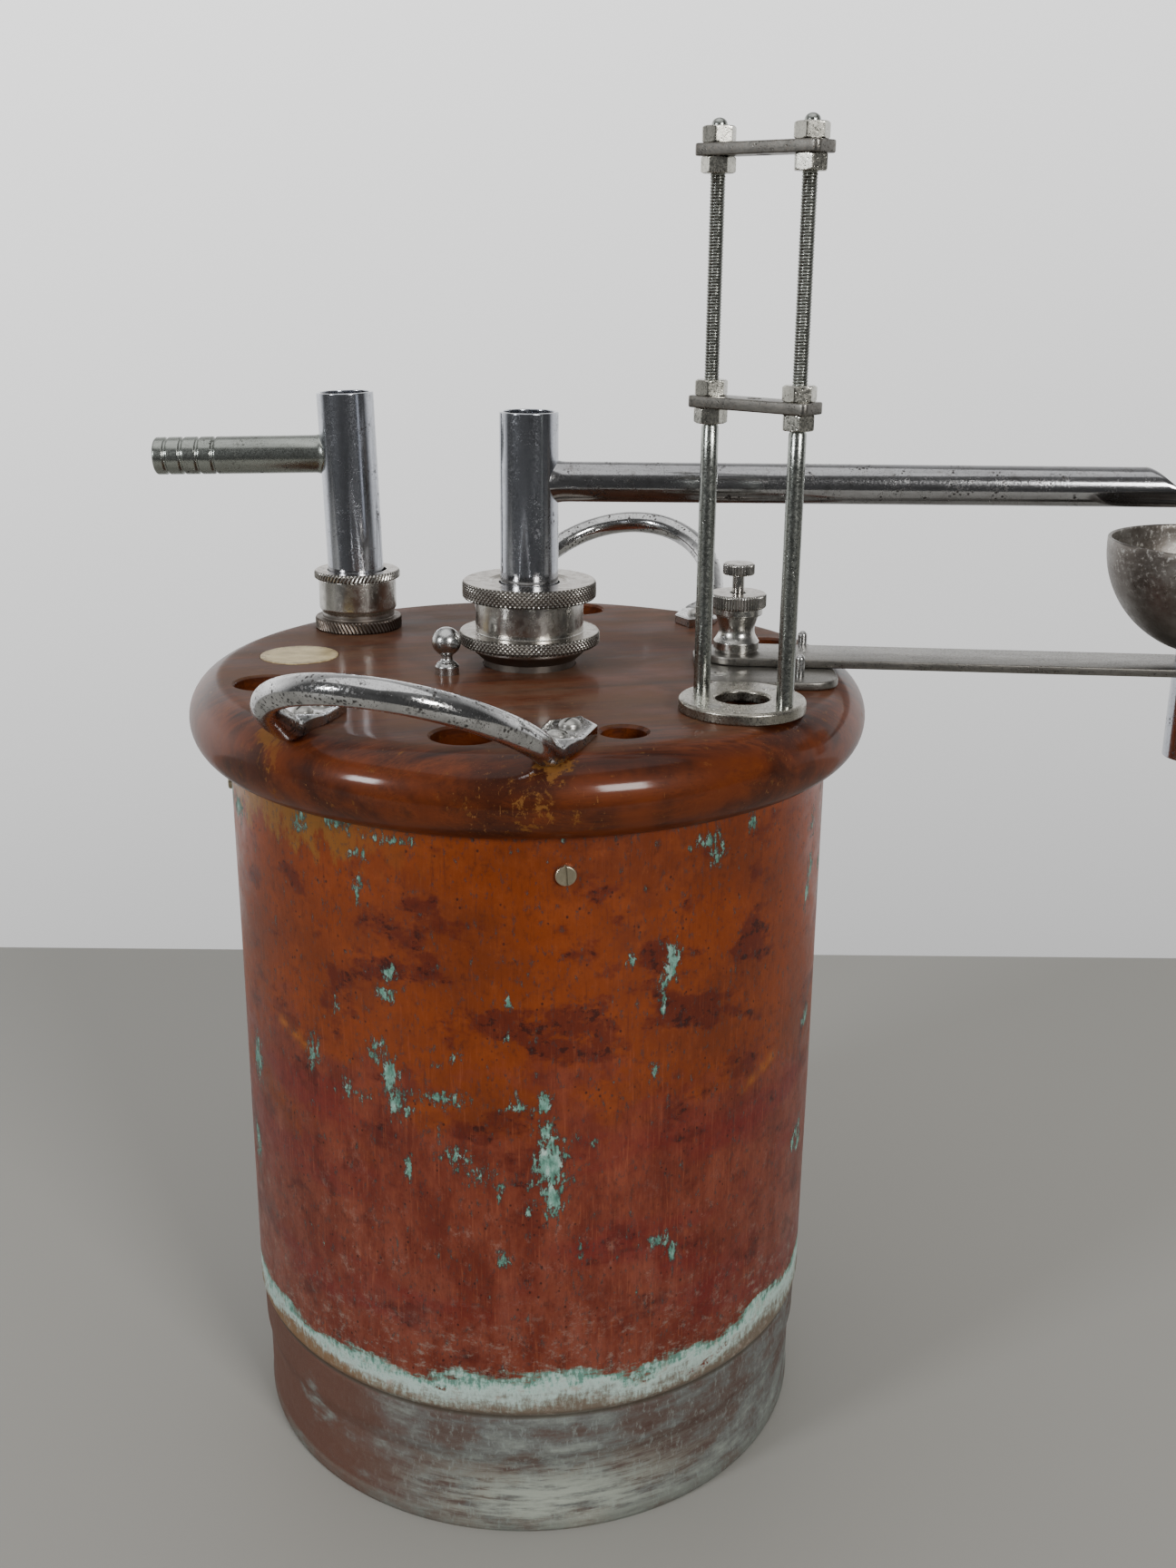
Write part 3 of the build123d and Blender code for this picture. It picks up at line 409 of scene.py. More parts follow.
# Places where green salts grew: angle, height, half width, half height and strength of each.
salts = np.array([
    (-113, 157, 2.6, 8, 1.0), (-115.5, 164, 3, 4, 0.8), (-112, 150, 2.2, 6, 0.9), (-121, 149, 6, 3, 0.55),
    (-104, 153, 9, 2.2, 0.7), (-85.5, 153, 1.8, 3.6, 1.0), (-85.2, 143, 3, 5, 0.9),
    (-84.5, 133, 4.6, 9, 1.05), (-84, 122, 2.8, 6, 1.0), (-63, 193, 2.4, 6, 1.05),
    (-64.4, 183, 1.3, 7, 0.8), (-64, 102, 4.5, 3, 0.8), (-61, 98, 2, 4, 0.7), (-118, 215, 1.6, 5, 0.75),
    (-130.4, 157, 3, 4, 0.8), (-130.6, 163, 1.5, 2, 0.8), (-89.6, 152, 5.5, 1.0, 0.9),
    (-100.5, 135, 5, 4, 0.6), (-112.3, 190, 1.6, 3.4, 0.95), (-113.4, 183, 3, 2, 1.0),
    (-56.4, 227, 5, 2.5, 0.75), (-54, 223, 2, 4, 0.7), (-109.8, 128, 0.9, 5, 0.95),
    (-70.7, 196, 1.2, 2.5, 0.9), (-93.3, 125, 1.0, 5, 0.6), (-91.5, 184, 0.9, 2.2, 1.1),
    (-91.5, 174, 0.7, 1.6, 1.0), (-79, 104, 1.1, 5, 0.7), (-92.7, 101, 1.6, 2.0, 1.0),
    (-109.5, 147, 1.6, 1.6, 1.0), (-97, 130, 5, 4, 0.5), (-124, 176, 1.2, 2.6, 0.8),
    (-118, 224, 3, 1.5, 0.7), (-112, 230, 9, 1.3, 0.75), (-122, 232, 6, 1.6, 0.8),
    (-46, 229, 1.4, 3.5, 0.8), (-131, 230, 3, 3.5, 0.7), (-66, 159, 1.2, 3, 0.7),
    (-101, 166, 1.2, 1.0, 0.9), (-104, 163, 1.0, 1.0, 0.9), (-77, 139, 1.2, 1.2, 0.9),
    (-68, 84, 1.0, 4, 0.5), (-80.5, 142, 1.4, 3, 0.4), (-88, 118, 1.2, 6, 0.5),
])
chance = np.random.default_rng(11)
many = 90
more_salts = np.stack([
    chance.uniform(-28, 208, many),
    chance.choice([228, 195, 155, 132, 103], many) + chance.normal(0, 9, many),
    chance.gamma(2.0, 1.1, many) + 0.6, chance.gamma(2.0, 2.2, many) + 1.2, chance.uniform(0.45, 1.05, many),
], 1)
salts = np.concatenate([salts, more_salts])


def grown(grid, spots):
    """Strength of every growth at each point: the greatest of s exp(-(arc/w)^2 - (rise/h)^2)."""
    angle = np.degrees(np.arctan2(grid[..., 1], grid[..., 0]))[..., None]
    arc = (angle - spots[:, 0] + 180) % 360 - 180
    arc = np.radians(arc) * can_radius
    rise = grid[..., 2:3] - spots[:, 1]
    return (spots[:, 4] * np.exp(-((arc / spots[:, 2]) ** 2) - (rise / spots[:, 3]) ** 2)).max(-1)


# Dark red burns in the lacquer, in the same terms.
burns = np.array([
    (-100, 184, 8, 4, 0.5), (-92, 179, 7, 5, 0.85), (-78, 178, 9, 5, 0.9), (-85, 171, 7, 3, 0.6),
    (-116, 187, 12, 8, 0.7), (-122, 186, 9, 5, 0.6), (-60, 176, 16, 9, 0.7), (-72.5, 208, 3.4, 3.2, 0.8),
    (-66, 190, 5, 14, 0.55), (-103, 170, 9, 5, 0.5), (-48, 186, 10, 12, 0.6), (-104, 214, 1.6, 1.2, 0.6),
    (-20, 180, 14, 7, 0.6), (20, 172, 18, 7, 0.6), (70, 184, 14, 7, 0.6), (115, 176, 18, 7, 0.6),
    (160, 182, 14, 8, 0.6), (-160, 176, 16, 7, 0.6),
])
# Two orange scratches, left and right, in the same terms.
scars = np.array([
    (-36.5, 148.5, 2.5, 1.5, 0.9), (-39.5, 147, 2.5, 1.5, 1.0), (-42.5, 145, 2.5, 1.4, 0.8),
    (-45, 143.5, 2.0, 1.3, 0.5), (-139, 162, 3, 1.6, 0.9), (-135.5, 160, 3, 1.5, 1.0),
    (-132.5, 158, 2.5, 1.4, 0.8), (-130, 156.5, 2, 1.3, 0.5),
])
angle_of = np.degrees(np.arctan2(can_grid[..., 1], can_grid[..., 0]))
# How high the crust stands above the shoulder: low and thin on the left, high on the right.
crust = 58 + 2.5 * np.sin(np.radians(angle_of + 130))
crust = crust + 1.2 * np.sin(np.radians(7 * angle_of)) + 0.8 * np.sin(np.radians(17 * angle_of))
can_marks = {
    "salts": grown(can_grid, salts),
    "burns": grown(can_grid, burns),
    "scars": grown(can_grid, scars),
    "above_crust": can_grid[..., 2] - crust,
    # painted highlight on the foot: a pale patch at the front, towards the camera, and a weaker one at the
    # back right
    "painted_foot_highlight": np.exp(-(((angle_of + 84) / 24) ** 2) - ((can_grid[..., 2] - 12) / 12) ** 2)
    + 0.8 * np.exp(-(((angle_of - 60) / 40) ** 2) - ((can_grid[..., 2] - 20) / 16) ** 2),
    "brown_foot": 1 / (1 + np.exp((np.abs(angle_of + 150) - 32) / 5)),
}

copper = Finish("aged_copper", Metallic=0.35, Roughness=0.42)
height = copper.along("Z")
cloud = copper.noise((46, 46, 34), detail=5, roughness=0.6)
fine_cloud = copper.noise((9, 9, 7), detail=6, roughness=0.65)
streak = copper.noise((12, 12, 26), detail=9, roughness=0.72)
thin_streak = copper.noise((0.7, 0.7, 14), detail=5, roughness=0.7)
grain = copper.noise(0.7, detail=3, roughness=0.7)
lifted = copper.plus(height, copper.span(cloud, 0.3, 0.7, -24, 24))
lifted = copper.plus(lifted, copper.span(fine_cloud, 0.3, 0.7, -7, 7))
upper = copper.mix(copper.span(cloud, 0.38, 0.66), paint(138, 60, 16), paint(118, 52, 20))
upper = copper.mix(copper.span(fine_cloud, 0.46, 0.74, 0, 0.55), upper, paint(150, 70, 22))
lower = copper.mix(copper.span(streak, 0.35, 0.66), paint(106, 42, 28), paint(138, 66, 44))
crimson = copper.noise((70, 70, 22), detail=3, centre=(40, 10, 60))
lower = copper.mix(copper.span(crimson, 0.5, 0.66, 0, 0.7), lower, paint(116, 32, 30))
copper.colour = copper.mix(copper.span(lifted, 138, 162), lower, upper)
# dark red clouds, and small near-black burns inside them
blot = copper.noise((20, 20, 13), detail=6, roughness=0.62, centre=(15, 0, 25))
band = copper.plus(copper.mark("burns"), copper.span(blot, 0.3, 0.7, -0.7, 0.5))
band = copper.span(band, 0.1, 0.5)
copper.lay(copper.times(band, 0.72), 86, 26, 18)
burn = copper.noise((4.5, 4.5, 3.6), detail=5, roughness=0.65, centre=(3, 0, 9))
in_blot = copper.times(copper.span(burn, 0.54, 0.62, 0, 0.8), copper.span(band, 0.4, 0.9))
copper.lay(in_blot, 50, 18, 16)
# bright rubbed lines and pale bloom, mostly low down
rubbed = copper.times(copper.span(thin_streak, 0.54, 0.7), copper.span(height, 200, 130, 0.12, 0.5))
copper.lay(rubbed, 165, 92, 62)
bloom = copper.noise((5.5, 5.5, 7), detail=9, roughness=0.85, centre=(9, 0, 0))
bloom_zone = copper.times(copper.span(height, 165, 82), copper.span(cloud, 0.3, 0.6, 0.25, 1))
bloom = copper.times(copper.span(bloom, 0.54, 0.66), bloom_zone)
veil = copper.times(copper.span(streak, 0.4, 0.7), copper.span(height, 150, 70, 0, 0.32))
copper.lay(veil, 126, 84, 76)
copper.lay(copper.times(bloom, 0.7), 158, 124, 110)
mottle = copper.noise((2.6, 2.6, 3.8), detail=8, roughness=0.75, centre=(6, 1, 8))
copper.lay(copper.span(mottle, 0.52, 0.7, 0, 0.5), 62, 28, 20)
copper.lay(copper.span(mottle, 0.46, 0.3, 0, 0.3), 158, 84, 44)
copper.lay(copper.span(thin_streak, 0.44, 0.32, 0, 0.35), 66, 30, 24)
copper.lay(copper.times(copper.mark("scars"), copper.span(mottle, 0.3, 0.6)), 178, 104, 34)
speck = copper.cells((2.1, 2.1, 2.6))
speck = copper.times(copper.span(speck, 0.24, 0.12), copper.span(fine_cloud, 0.5, 0.6))
copper.lay(copper.times(speck, 0.8), 44, 22, 20)
# yellow stain that has run from under the lid on one side
run = copper.noise((5, 5, 9), detail=8, roughness=0.7, centre=(1, 2, 3))
run = copper.plus(copper.span(height, 206, 236, -0.75, 0.75), copper.span(run, 0.3, 0.7, -0.5, 0.5))
run = copper.times(copper.span(run, 0.0, 0.5, 0.0, 0.75), copper.mark("brown_foot"))
copper.lay(run, 146, 104, 40)
# green salts
torn = copper.noise((1.5, 1.5, 3.2), detail=8, roughness=0.75)
growth = copper.plus(copper.mark("salts"), copper.span(torn, 0.3, 0.7, -0.62, 0.5))
stray = copper.noise((3.4, 3.4, 9), detail=8, roughness=0.8, centre=(0, 0, 40))
stray = copper.times(copper.span(stray, 0.665, 0.7), copper.span(cloud, 0.5, 0.6))
under_lid = copper.plus(copper.span(height, 226, 235, 0, 0.42), copper.span(torn, 0.3, 0.7, -0.55, 0.2))
growth = copper.most(copper.most(growth, stray), under_lid)
halo = copper.span(growth, 0.16, 0.42)
green = copper.span(growth, 0.4, 0.62)
copper.lay(copper.times(halo, 0.75), 62, 52, 52)
salt_tone = copper.noise((2.4, 2.4, 5), detail=5, roughness=0.7, centre=(0, 20, 0))
salt_colour = copper.ramp(
    salt_tone, (0.3, 48, 78, 72), (0.45, 84, 128, 112), (0.57, 118, 158, 144), (0.72, 178, 196, 186)
)
copper.lay(green, salt_colour)
# crust above the shoulder: ochre scale, then white chalk, then a turquoise edge and thinning specks
rough_edge = copper.noise((20, 20, 6), detail=9, roughness=0.66)
fine_edge = copper.noise((1.3, 1.3, 3.6), detail=6, roughness=0.72)
over = copper.plus(copper.mark("above_crust"), copper.span(rough_edge, 0.3, 0.7, -3, 3))
over = copper.plus(over, copper.span(fine_edge, 0.25, 0.75, -0.9, 0.9))
gaps = copper.times(copper.span(rough_edge, 0.6, 0.68), copper.span(fine_edge, 0.42, 0.56))
crust_mask = copper.maths("SUBTRACT", copper.span(over, 1.0, -1.4), gaps, clamp=True)
crust_tone = copper.plus(copper.span(over, -15, 2), copper.span(fine_edge, 0.25, 0.75, -0.16, 0.16))
crust_colour = copper.ramp(
    crust_tone, (0.06, 98, 86, 72), (0.24, 122, 124, 114), (0.42, 154, 170, 162),
    (0.66, 172, 192, 184), (0.82, 136, 168, 156), (0.93, 84, 128, 114),
)
ochre = copper.times(copper.mark("brown_foot"), copper.span(crust_tone, 0.6, 0.2, 0, 0.8))
crust_colour = copper.mix(ochre, crust_colour, paint(116, 82, 44))
copper.lay(crust_mask, crust_colour)
thin = copper.noise((5, 5, 3.2), detail=9, roughness=0.8, centre=(7, 0, 2))
thin = copper.times(copper.span(thin, 0.52, 0.66), copper.span(over, 34, 2))
copper.lay(copper.times(thin, 0.75), 150, 138, 126)
foot_cloud = copper.noise((30, 30, 16), detail=9, roughness=0.7, centre=(0, 0, 3))
foot_streaks = copper.noise((17, 17, 2.2), detail=8, roughness=0.72)
foot_mixed = copper.plus(copper.times(foot_cloud, 0.82), copper.times(foot_streaks, 0.18))
foot_colour = copper.ramp(
    foot_mixed, (0.36, 66, 42, 34), (0.46, 80, 66, 60), (0.53, 90, 92, 90),
    (0.61, 118, 124, 118), (0.7, 150, 156, 148),
)
foot_colour = copper.mix(copper.span(fine_edge, 0.52, 0.66, 0, 0.5), foot_colour, paint(128, 138, 134))
# Painted highlight: pale horizontal streaks laid over the front of the foot.
bright = copper.times(copper.mark("painted_foot_highlight"), copper.span(foot_streaks, 0.36, 0.58))
foot_colour = copper.mix(bright, foot_colour, paint(158, 164, 152))
brown = copper.times(copper.mark("brown_foot"), copper.span(foot_cloud, 0.66, 0.5))
foot_colour = copper.mix(brown, foot_colour, paint(88, 54, 42))
below = copper.span(height, 46.4, 44.2)
copper.lay(copper.times(below, 0.93), foot_colour)
groove = copper.times(copper.span(height, 43.6, 44.4), copper.span(height, 45.8, 45.0))
copper.lay(copper.times(groove, 0.8), 60, 52, 40)
foot_ring = copper.times(copper.span(height, 6.2, 4.8), copper.span(foot_cloud, 0.3, 0.6))
copper.lay(copper.times(foot_ring, 0.5), 96, 100, 92)
copper.set("Base Color", copper.colour)
chalk = copper.most(copper.most(green, crust_mask), below)
copper.set("Metallic", copper.span(chalk, 0.1, 0.9, 0.42, 0.0))
rough = copper.plus(copper.span(fine_cloud, 0.3, 0.7, 0.32, 0.46), copper.span(chalk, 0.1, 0.9, 0.0, 0.3))
copper.set("Roughness", rough)
copper.bump(thin_streak, 0.05, 0.5)
copper.bump(grain, 0.08, 0.35)
copper.bump(copper.times(chalk, torn), 0.35, 0.8)
wall = skin("copper_wall", can_grid, ring=True, sharp=50, marks=can_marks)
dress(wall, copper, "vessel", "copper_sheet", "copper_can")
coat(copper, "can_base")

# ---------------------------------------------------------------- wooden lid
# The lid is one turned mahogany board with a half-round edge, stained and varnished, bored for
# the fittings and ports. The varnish is worn to bare wood under the handles and dull on top, where
# a grey-brown colour stands for dust and for painted sheen.
lid_low, lid_high, lid_mid = corners("wooden_lid")
nose = (lid_high[2] - lid_low[2]) / 2
flat_radius = lid_high[0] - nose
turn = np.linspace(-np.pi / 2, np.pi / 2, 25)
edge_curve = np.stack([flat_radius + nose * np.cos(turn), lid_mid[2] + nose * np.sin(turn)], 1)
lid_outline = np.concatenate([[(70, lid_low[2])], edge_curve, [(70, lid_high[2])]])
lid = skin("lid_board", lathe(stepped(lid_outline, 6), 300), sharp=40)


def bored(piece, cutters, sharp=34.0):
    """Cuts closed shapes, given as grids, out of a piece, and keeps the result as its mesh."""
    tool = skin("bore_tool", cutters)
    cut = piece.modifiers.new("bores", "BOOLEAN")
    cut.operation, cut.solver, cut.object = "DIFFERENCE", "EXACT", tool
    bpy.context.view_layer.update()
    made = bpy.data.meshes.new_from_object(piece.evaluated_get(bpy.context.evaluated_depsgraph_get()))
    piece.modifiers.clear()
    piece.data = made
    made.polygons.foreach_set("use_smooth", np.ones(len(made.polygons), bool))
    made.set_sharp_from_angle(angle=np.radians(sharp))
    bpy.data.objects.remove(tool)
    return piece


def about_z(degrees):
    """Matrix that turns points about Z."""
    c, s = np.cos(np.radians(degrees)), np.sin(np.radians(degrees))
    return np.array([(c, -s, 0), (s, c, 0), (0, 0, 1)])


def drill(at, radius, lip, low=lid_low[2] - 1):
    """Cutter for one round hole from a height to the lid's top, with a small worn lip there."""
    high = lid_high[2]
    outline = np.array(
        [(radius, low), (radius, high - lip), (radius + lip, high + 0.01), (radius + lip, high + 3)]
    )
    return lathe(outline, 56, centre=(at[0], at[1], 0))


port_circle, port_radius = 84, 9.3
inlet_at = corners("inlet_gland_body")[2]
ring_at = corners("guide_ring_plate")[2]
label_low, label_high, label_at = corners("label_disc")
holes = [drill(about_z(angle) @ (port_circle, 0, 0), port_radius, 0.7) for angle in (-160, -100, 20, 80)]
holes += [drill((28.8, -77.8), 6.4, 0.9), drill((0, 0), 14.7, 0.2), drill(inlet_at, 12.0, 0.2)]
holes += [drill(ring_at, port_radius, 0.2), drill(label_at, 12.6, 0.15, label_low[2])]
bored(lid, holes, 40)

wood = Finish("worn_mahogany", Coat_Roughness=0.12, Specular_IOR_Level=0.1)
height = wood.along("Z")
figure = wood.noise((95, 5.5, 9), detail=5, roughness=0.6, twist=0.6, turn=14)
pores = wood.noise((7.5, 0.34, 0.6), detail=3, roughness=0.7, turn=14)
clouds = wood.noise(30, detail=5, roughness=0.6)
wood.colour = wood.ramp(
    figure, (0.32, 36, 14, 6), (0.48, 72, 31, 12), (0.6, 98, 46, 17), (0.72, 52, 22, 8)
)
wood.lay(wood.span(pores, 0.5, 0.66, 0, 0.6), 34, 16, 9)
wood.lay(wood.span(clouds, 0.42, 0.66, 0, 0.5), 38, 16, 8)
top_face = wood.span(height, lid_high[2] - 0.9, lid_high[2] - 0.15)
# Top face: grey-brown streaks along the grain, partly dust on dulled varnish and partly painted sheen, the
# pale reflection of the room on the varnished top.
dust_and_sheen_cloud = wood.noise((26, 15, 15), detail=8, roughness=0.68, turn=14)
dull = wood.times(top_face, wood.span(dust_and_sheen_cloud, 0.34, 0.66, 0.1, 0.75))
wood.lay(dull, 96, 72, 56)
scuff_line = wood.noise((0.7, 22, 22), detail=6, roughness=0.75, twist=1.2, turn=52)
scuff_line_b = wood.noise((26, 0.9, 9), detail=6, roughness=0.75, twist=0.8, turn=-35)
scuffs = wood.most(wood.span(scuff_line, 0.675, 0.7), wood.span(scuff_line_b, 0.68, 0.7))
scuffs = wood.times(scuffs, wood.span(clouds, 0.4, 0.52))
nicks = wood.noise((0.45, 0.45, 7), detail=6, roughness=0.7, centre=(2, 2, 2))
nicks = wood.times(wood.span(nicks, 0.62, 0.68), wood.span(wood.noise((16, 16, 30)), 0.5, 0.58))
chips = wood.noise((1.6, 2.6, 2.2), detail=8, roughness=0.8, centre=(6, 1, 4))
chips = wood.times(wood.span(chips, 0.6, 0.66), wood.span(clouds, 0.5, 0.6))
scuffs = wood.most(scuffs, wood.most(nicks, chips))
wood.lay(wood.times(scuffs, 0.7), 150, 104, 56)


def patch(finish, centre, radius):
    """Strength of a round patch: 1 at its centre, 0 at its rim."""
    place = finish.at(radius, centre)
    length = finish.add("VectorMath", {0: place}, out="Value", operation="LENGTH")
    return finish.span(length, 1.0, 0.25)


# bare wood where hands and handle feet rub the edge: angle round the lid, height below the top, size
rub = None
for angle, drop, size in (
    (-132, 2, 10), (-130, 9, 9), (-129, 16, 7), (-84.5, 2, 9), (-88, 13, 10), (-80, 15, 8), (50, 3, 10),
    (97, 3, 10), (51, 12, 8),
):
    spot = patch(wood, about_z(angle) @ (flat_radius + 7, 0, lid_high[2] - drop), size)
    rub = spot if rub is None else wood.most(rub, spot)
frayed = wood.noise((5, 2.2, 4.4), detail=8, roughness=0.75, turn=20)
bare = wood.span(wood.plus(rub, wood.span(frayed, 0.3, 0.7, -1.15, 0.35)), 0.1, 0.5)
wood.lay(wood.times(bare, 0.72), 128, 88, 42)
edge_red = wood.times(
    wood.span(height, lid_high[2] - 1, lid_high[2] - 6), wood.span(clouds, 0.62, 0.42, 0.1, 0.7),
)
wood.lay(edge_red, 104, 46, 14)
wood.set("Base Color", wood.colour)
worn = wood.most(bare, wood.times(top_face, wood.span(dust_and_sheen_cloud, 0.3, 0.7, 0.45, 0.9)))
wood.set("Roughness", wood.span(worn, 0.0, 1.0, 0.48, 0.62))
sheen = wood.maths("SUBTRACT", 1.0, wood.times(top_face, 0.4))
wood.set("Coat Weight", wood.times(wood.span(worn, 0.0, 1.0, 0.34, 0.02), sheen))
wood.bump(pores, 0.05, 0.5)
wood.bump(dust_and_sheen_cloud, 0.05, 0.15)
wood.bump(figure, 0.03, 0.2)
dress(lid, wood, "vessel", "varnished_wood", "wooden_lid")
bare_wood = Finish("unvarnished_wood", Roughness=0.75)
plain_figure = bare_wood.noise((80, 4, 7), detail=5, twist=0.5)
bare_wood.set("Base Color", bare_wood.ramp(plain_figure, (0.35, 92, 60, 36), (0.65, 142, 102, 66)))
bare_wood.bump(bare_wood.noise((9, 0.5, 0.8)), 0.06)
coat(bare_wood, "lid_plug")

# ---------------------------------------------------------------- label disc
# A blank ivory disc is let into the lid at the left, yellowed, with dirt round its rim.
ivory = Finish("yellowed_ivory", Roughness=0.42, Specular_IOR_Level=0.4)
mottle = ivory.noise((9, 6, 6), detail=7, roughness=0.65)
ivory.colour = ivory.ramp(mottle, (0.3, 146, 126, 82), (0.5, 186, 166, 118), (0.7, 202, 186, 140))
soil = ivory.noise(2.2, detail=6, roughness=0.75)
ivory.lay(ivory.span(soil, 0.58, 0.72, 0, 0.5), 112, 90, 58)
clean = patch(ivory, (label_at[0], label_at[1], label_high[2]), 13.4)
stain = ivory.plus(clean, ivory.span(soil, 0.3, 0.7, -0.3, 0.3))
ivory.lay(ivory.span(stain, 0.22, 0.02, 0, 0.6), 96, 68, 40)
ivory.set("Base Color", ivory.colour)
ivory.bump(soil, 0.05, 0.4)
low, high = label_low[2], label_high[2]
disc = np.array([(0.3, low), (12.5, low), (12.5, high - 0.12), (12.35, high), (0.3, high)])
label = skin("ivory_label", lathe(eased(disc, 0.1), 96, centre=(label_at[0], label_at[1], 0)))
dress(label, ivory, "vessel", "ivory_disc", "label_disc")

# ---------------------------------------------------------------- carrying handles
# Each handle is one round steel bar, its two ends hammered to flat pointed tabs, bent to an
# arch that leans outwards, and nickel plated. The plate has blistered into close black pits.


def nickel(name, tone, pit=0.5, tarnish=0.4, rough=0.2, lines=(9, 9, 9)):
    """Old nickel plate: a grey metal with brown tarnish clouds drawn out along lines, and small pits."""
    plate = Finish(name, Metallic=1.0)
    veil = plate.noise(lines, detail=7, roughness=0.65)
    haze = plate.noise(3.2, detail=6, roughness=0.7)
    grit = plate.noise(0.55, detail=5, roughness=0.75)
    plate.two_tone(veil, tone, 0.72)
    plate.lay(plate.span(haze, 0.5, 0.75, 0, tarnish), 84, 74, 62)
    plate.lay(plate.span(grit, 0.54, 0.7, 0, 0.55), 70, 66, 62)
    frayed = plate.span(plate.noise(0.9, detail=3), 0.3, 0.7, -0.09, 0.09)
    pits = plate.plus(plate.cells(1.4), frayed)
    crowd = plate.noise((7, 7, 7), detail=4, centre=(8, 3, 1))
    depth = plate.times(plate.span(pits, 0.4, 0.24), plate.span(crowd, 0.66 - 0.3 * pit, 0.76 - 0.3 * pit))
    small = plate.plus(plate.cells(0.5, centre=(4, 4, 4)), frayed)
    small = plate.times(plate.span(small, 0.34, 0.18), plate.span(crowd, 0.58 - 0.3 * pit, 0.7 - 0.3 * pit))
    depth = plate.most(depth, plate.times(small, 0.8))
    plate.lay(plate.times(depth, 0.85), 40, 34, 30)
    plate.set("Base Color", plate.colour)
    dull = plate.plus(plate.span(grit, 0.35, 0.75, rough, rough + 0.16), plate.times(depth, 0.35))
    plate.set("Roughness", dull)
    plate.bump(grit, 0.006, 0.3)
    plate.bump(depth, -0.02, 0.3)
    return plate


bar_plate = nickel("pitted_handle_plate", (0.6, 0.6, 0.6), pit=0.7, tarnish=0.25, rough=0.06)
screw_plate = nickel("screw_plate", (0.5, 0.49, 0.46), pit=0.3, tarnish=0.6, rough=0.3)
bar_radius, half_span, foot_lift, foot_out, tab_thick = 4.0, 37.0, 2.2, 97.5, 3.0
front_way, rear_way = -106.5, 73.5
lean_out, lean_up = 38.3, 22.5


def handle_bar(angle):
    """Points of a bar carried along a path. The path runs along a flat tab, swells into the round bar and
    follows half an ellipse; the section is |x/w|^n + |y/h|^n = 1 with w, h and n changing along it."""
    tab = np.linspace(-32, -10, 34)
    bend = np.linspace(0, 1, 14)[1:-1, None]
    foot = np.array((0.0, foot_lift))
    climb = np.array((lean_out, lean_up)) / np.hypot(lean_out, lean_up)
    a, b, c = np.array((-10, 1.5)), np.array((-4.5, 1.5)), foot - 3.6 * climb
    rest = 1 - bend
    curve = rest**3 * a + 3 * bend * rest**2 * b + 3 * bend**2 * rest * c + bend**3 * foot
    start = np.concatenate([np.stack([tab, 0 * tab + 1.5], 1), curve])
    sweep = np.linspace(-np.pi / 2, np.pi / 2, 90)
    bow = np.stack(
        [lean_out * np.cos(sweep), half_span * np.sin(sweep), foot_lift + lean_up * np.cos(sweep)], 1,
    )
    left = np.stack([start[:, 0], 0 * start[:, 0] - half_span, start[:, 1]], 1)
    path = np.concatenate([left, bow, left[::-1] * (1, -1, 1)])
    ahead = np.gradient(path, axis=0)
    ahead /= np.linalg.norm(ahead, axis=1)[:, None]
    from_tip = np.minimum(path[:, 0], 0) + 32
    swell = np.clip((from_tip - 19) / 13, 0, 1)
    swell = swell**2 * (3 - 2 * swell)
    face = np.stack([-climb[1] * swell, 0 * swell, 1 - (1 - climb[0]) * swell], 1)
    side = np.cross(face, ahead)
    side /= np.linalg.norm(side, axis=1)[:, None]
    face = np.cross(ahead, side)
    wide = np.where(swell > 0, 7 + (bar_radius - 7) * swell, np.clip(from_tip, 0.15, 7))
    deep = 1.5 + (bar_radius - 1.5) * swell
    power = 2 / (16 - 14 * swell**0.4)
    round_ = np.linspace(0, 2 * np.pi, 96, endpoint=False)[None, :]
    x = np.sign(np.cos(round_)) * np.abs(np.cos(round_)) ** power[:, None] * wide[:, None]
    y = np.sign(np.sin(round_)) * np.abs(np.sin(round_)) ** power[:, None] * deep[:, None]
    grid = path[:, None] + side[:, None] * x[..., None] + face[:, None] * y[..., None]
    grid = grid + np.array((foot_out, 0, lid_high[2]))
    return grid @ about_z(angle).T


def slotted_head(radius, rise, at, face_turn, slot_turn, slot, deep, flat=False):
    """Screw head and the bar that cuts its slot: a turned button, domed or flat, stood on a place along the
    direction whose two angles (round Z, and over from Z) are given."""
    if flat:
        outline = eased(
            [(0.05, -0.6), (radius, -0.6), (radius, rise * 0.75), (radius * 0.9, rise), (0.05, rise)], 0.2,
        )
    else:
        over = np.linspace(0, np.pi / 2, 12)
        outline = np.stack([radius * np.cos(over) + 0.05, rise * np.sin(over) ** 0.9], 1)
        outline = np.concatenate([[(0.05, -0.6), (radius, -0.6)], outline])
    tilt = np.radians(face_turn[1])
    tip = np.array([(np.cos(tilt), 0, np.sin(tilt)), (0, 1, 0), (-np.sin(tilt), 0, np.cos(tilt))])
    stand = about_z(face_turn[0]) @ tip @ about_z(slot_turn)
    head = lathe(outline, 40, frame_of=stand, centre=at)
    corner = np.array([(-1, -1), (1, -1), (1, 1), (-1, 1)]) * (radius + 1, slot / 2)
    box = np.stack([np.concatenate([corner, np.full((4, 1), z)], 1) for z in (rise - deep, rise + 2)])
    return head, box @ stand.T + np.array(at)


def screw_set(name, screws, finish, body, slot, *nodes):
    """Several slotted screw heads as one piece."""
    heads, slots = zip(*screws)
    piece = bored(skin(name, list(heads)), list(slots))
    return dress(piece, finish, body, slot, *nodes)


for name, angle, node in (("front_grip", front_way, "front_handle"), ("rear_grip", rear_way, "rear_handle")):
    grip = skin(name, handle_bar(angle), sharp=30)
    dress(grip, bar_plate, "vessel", "plated_bar", node)

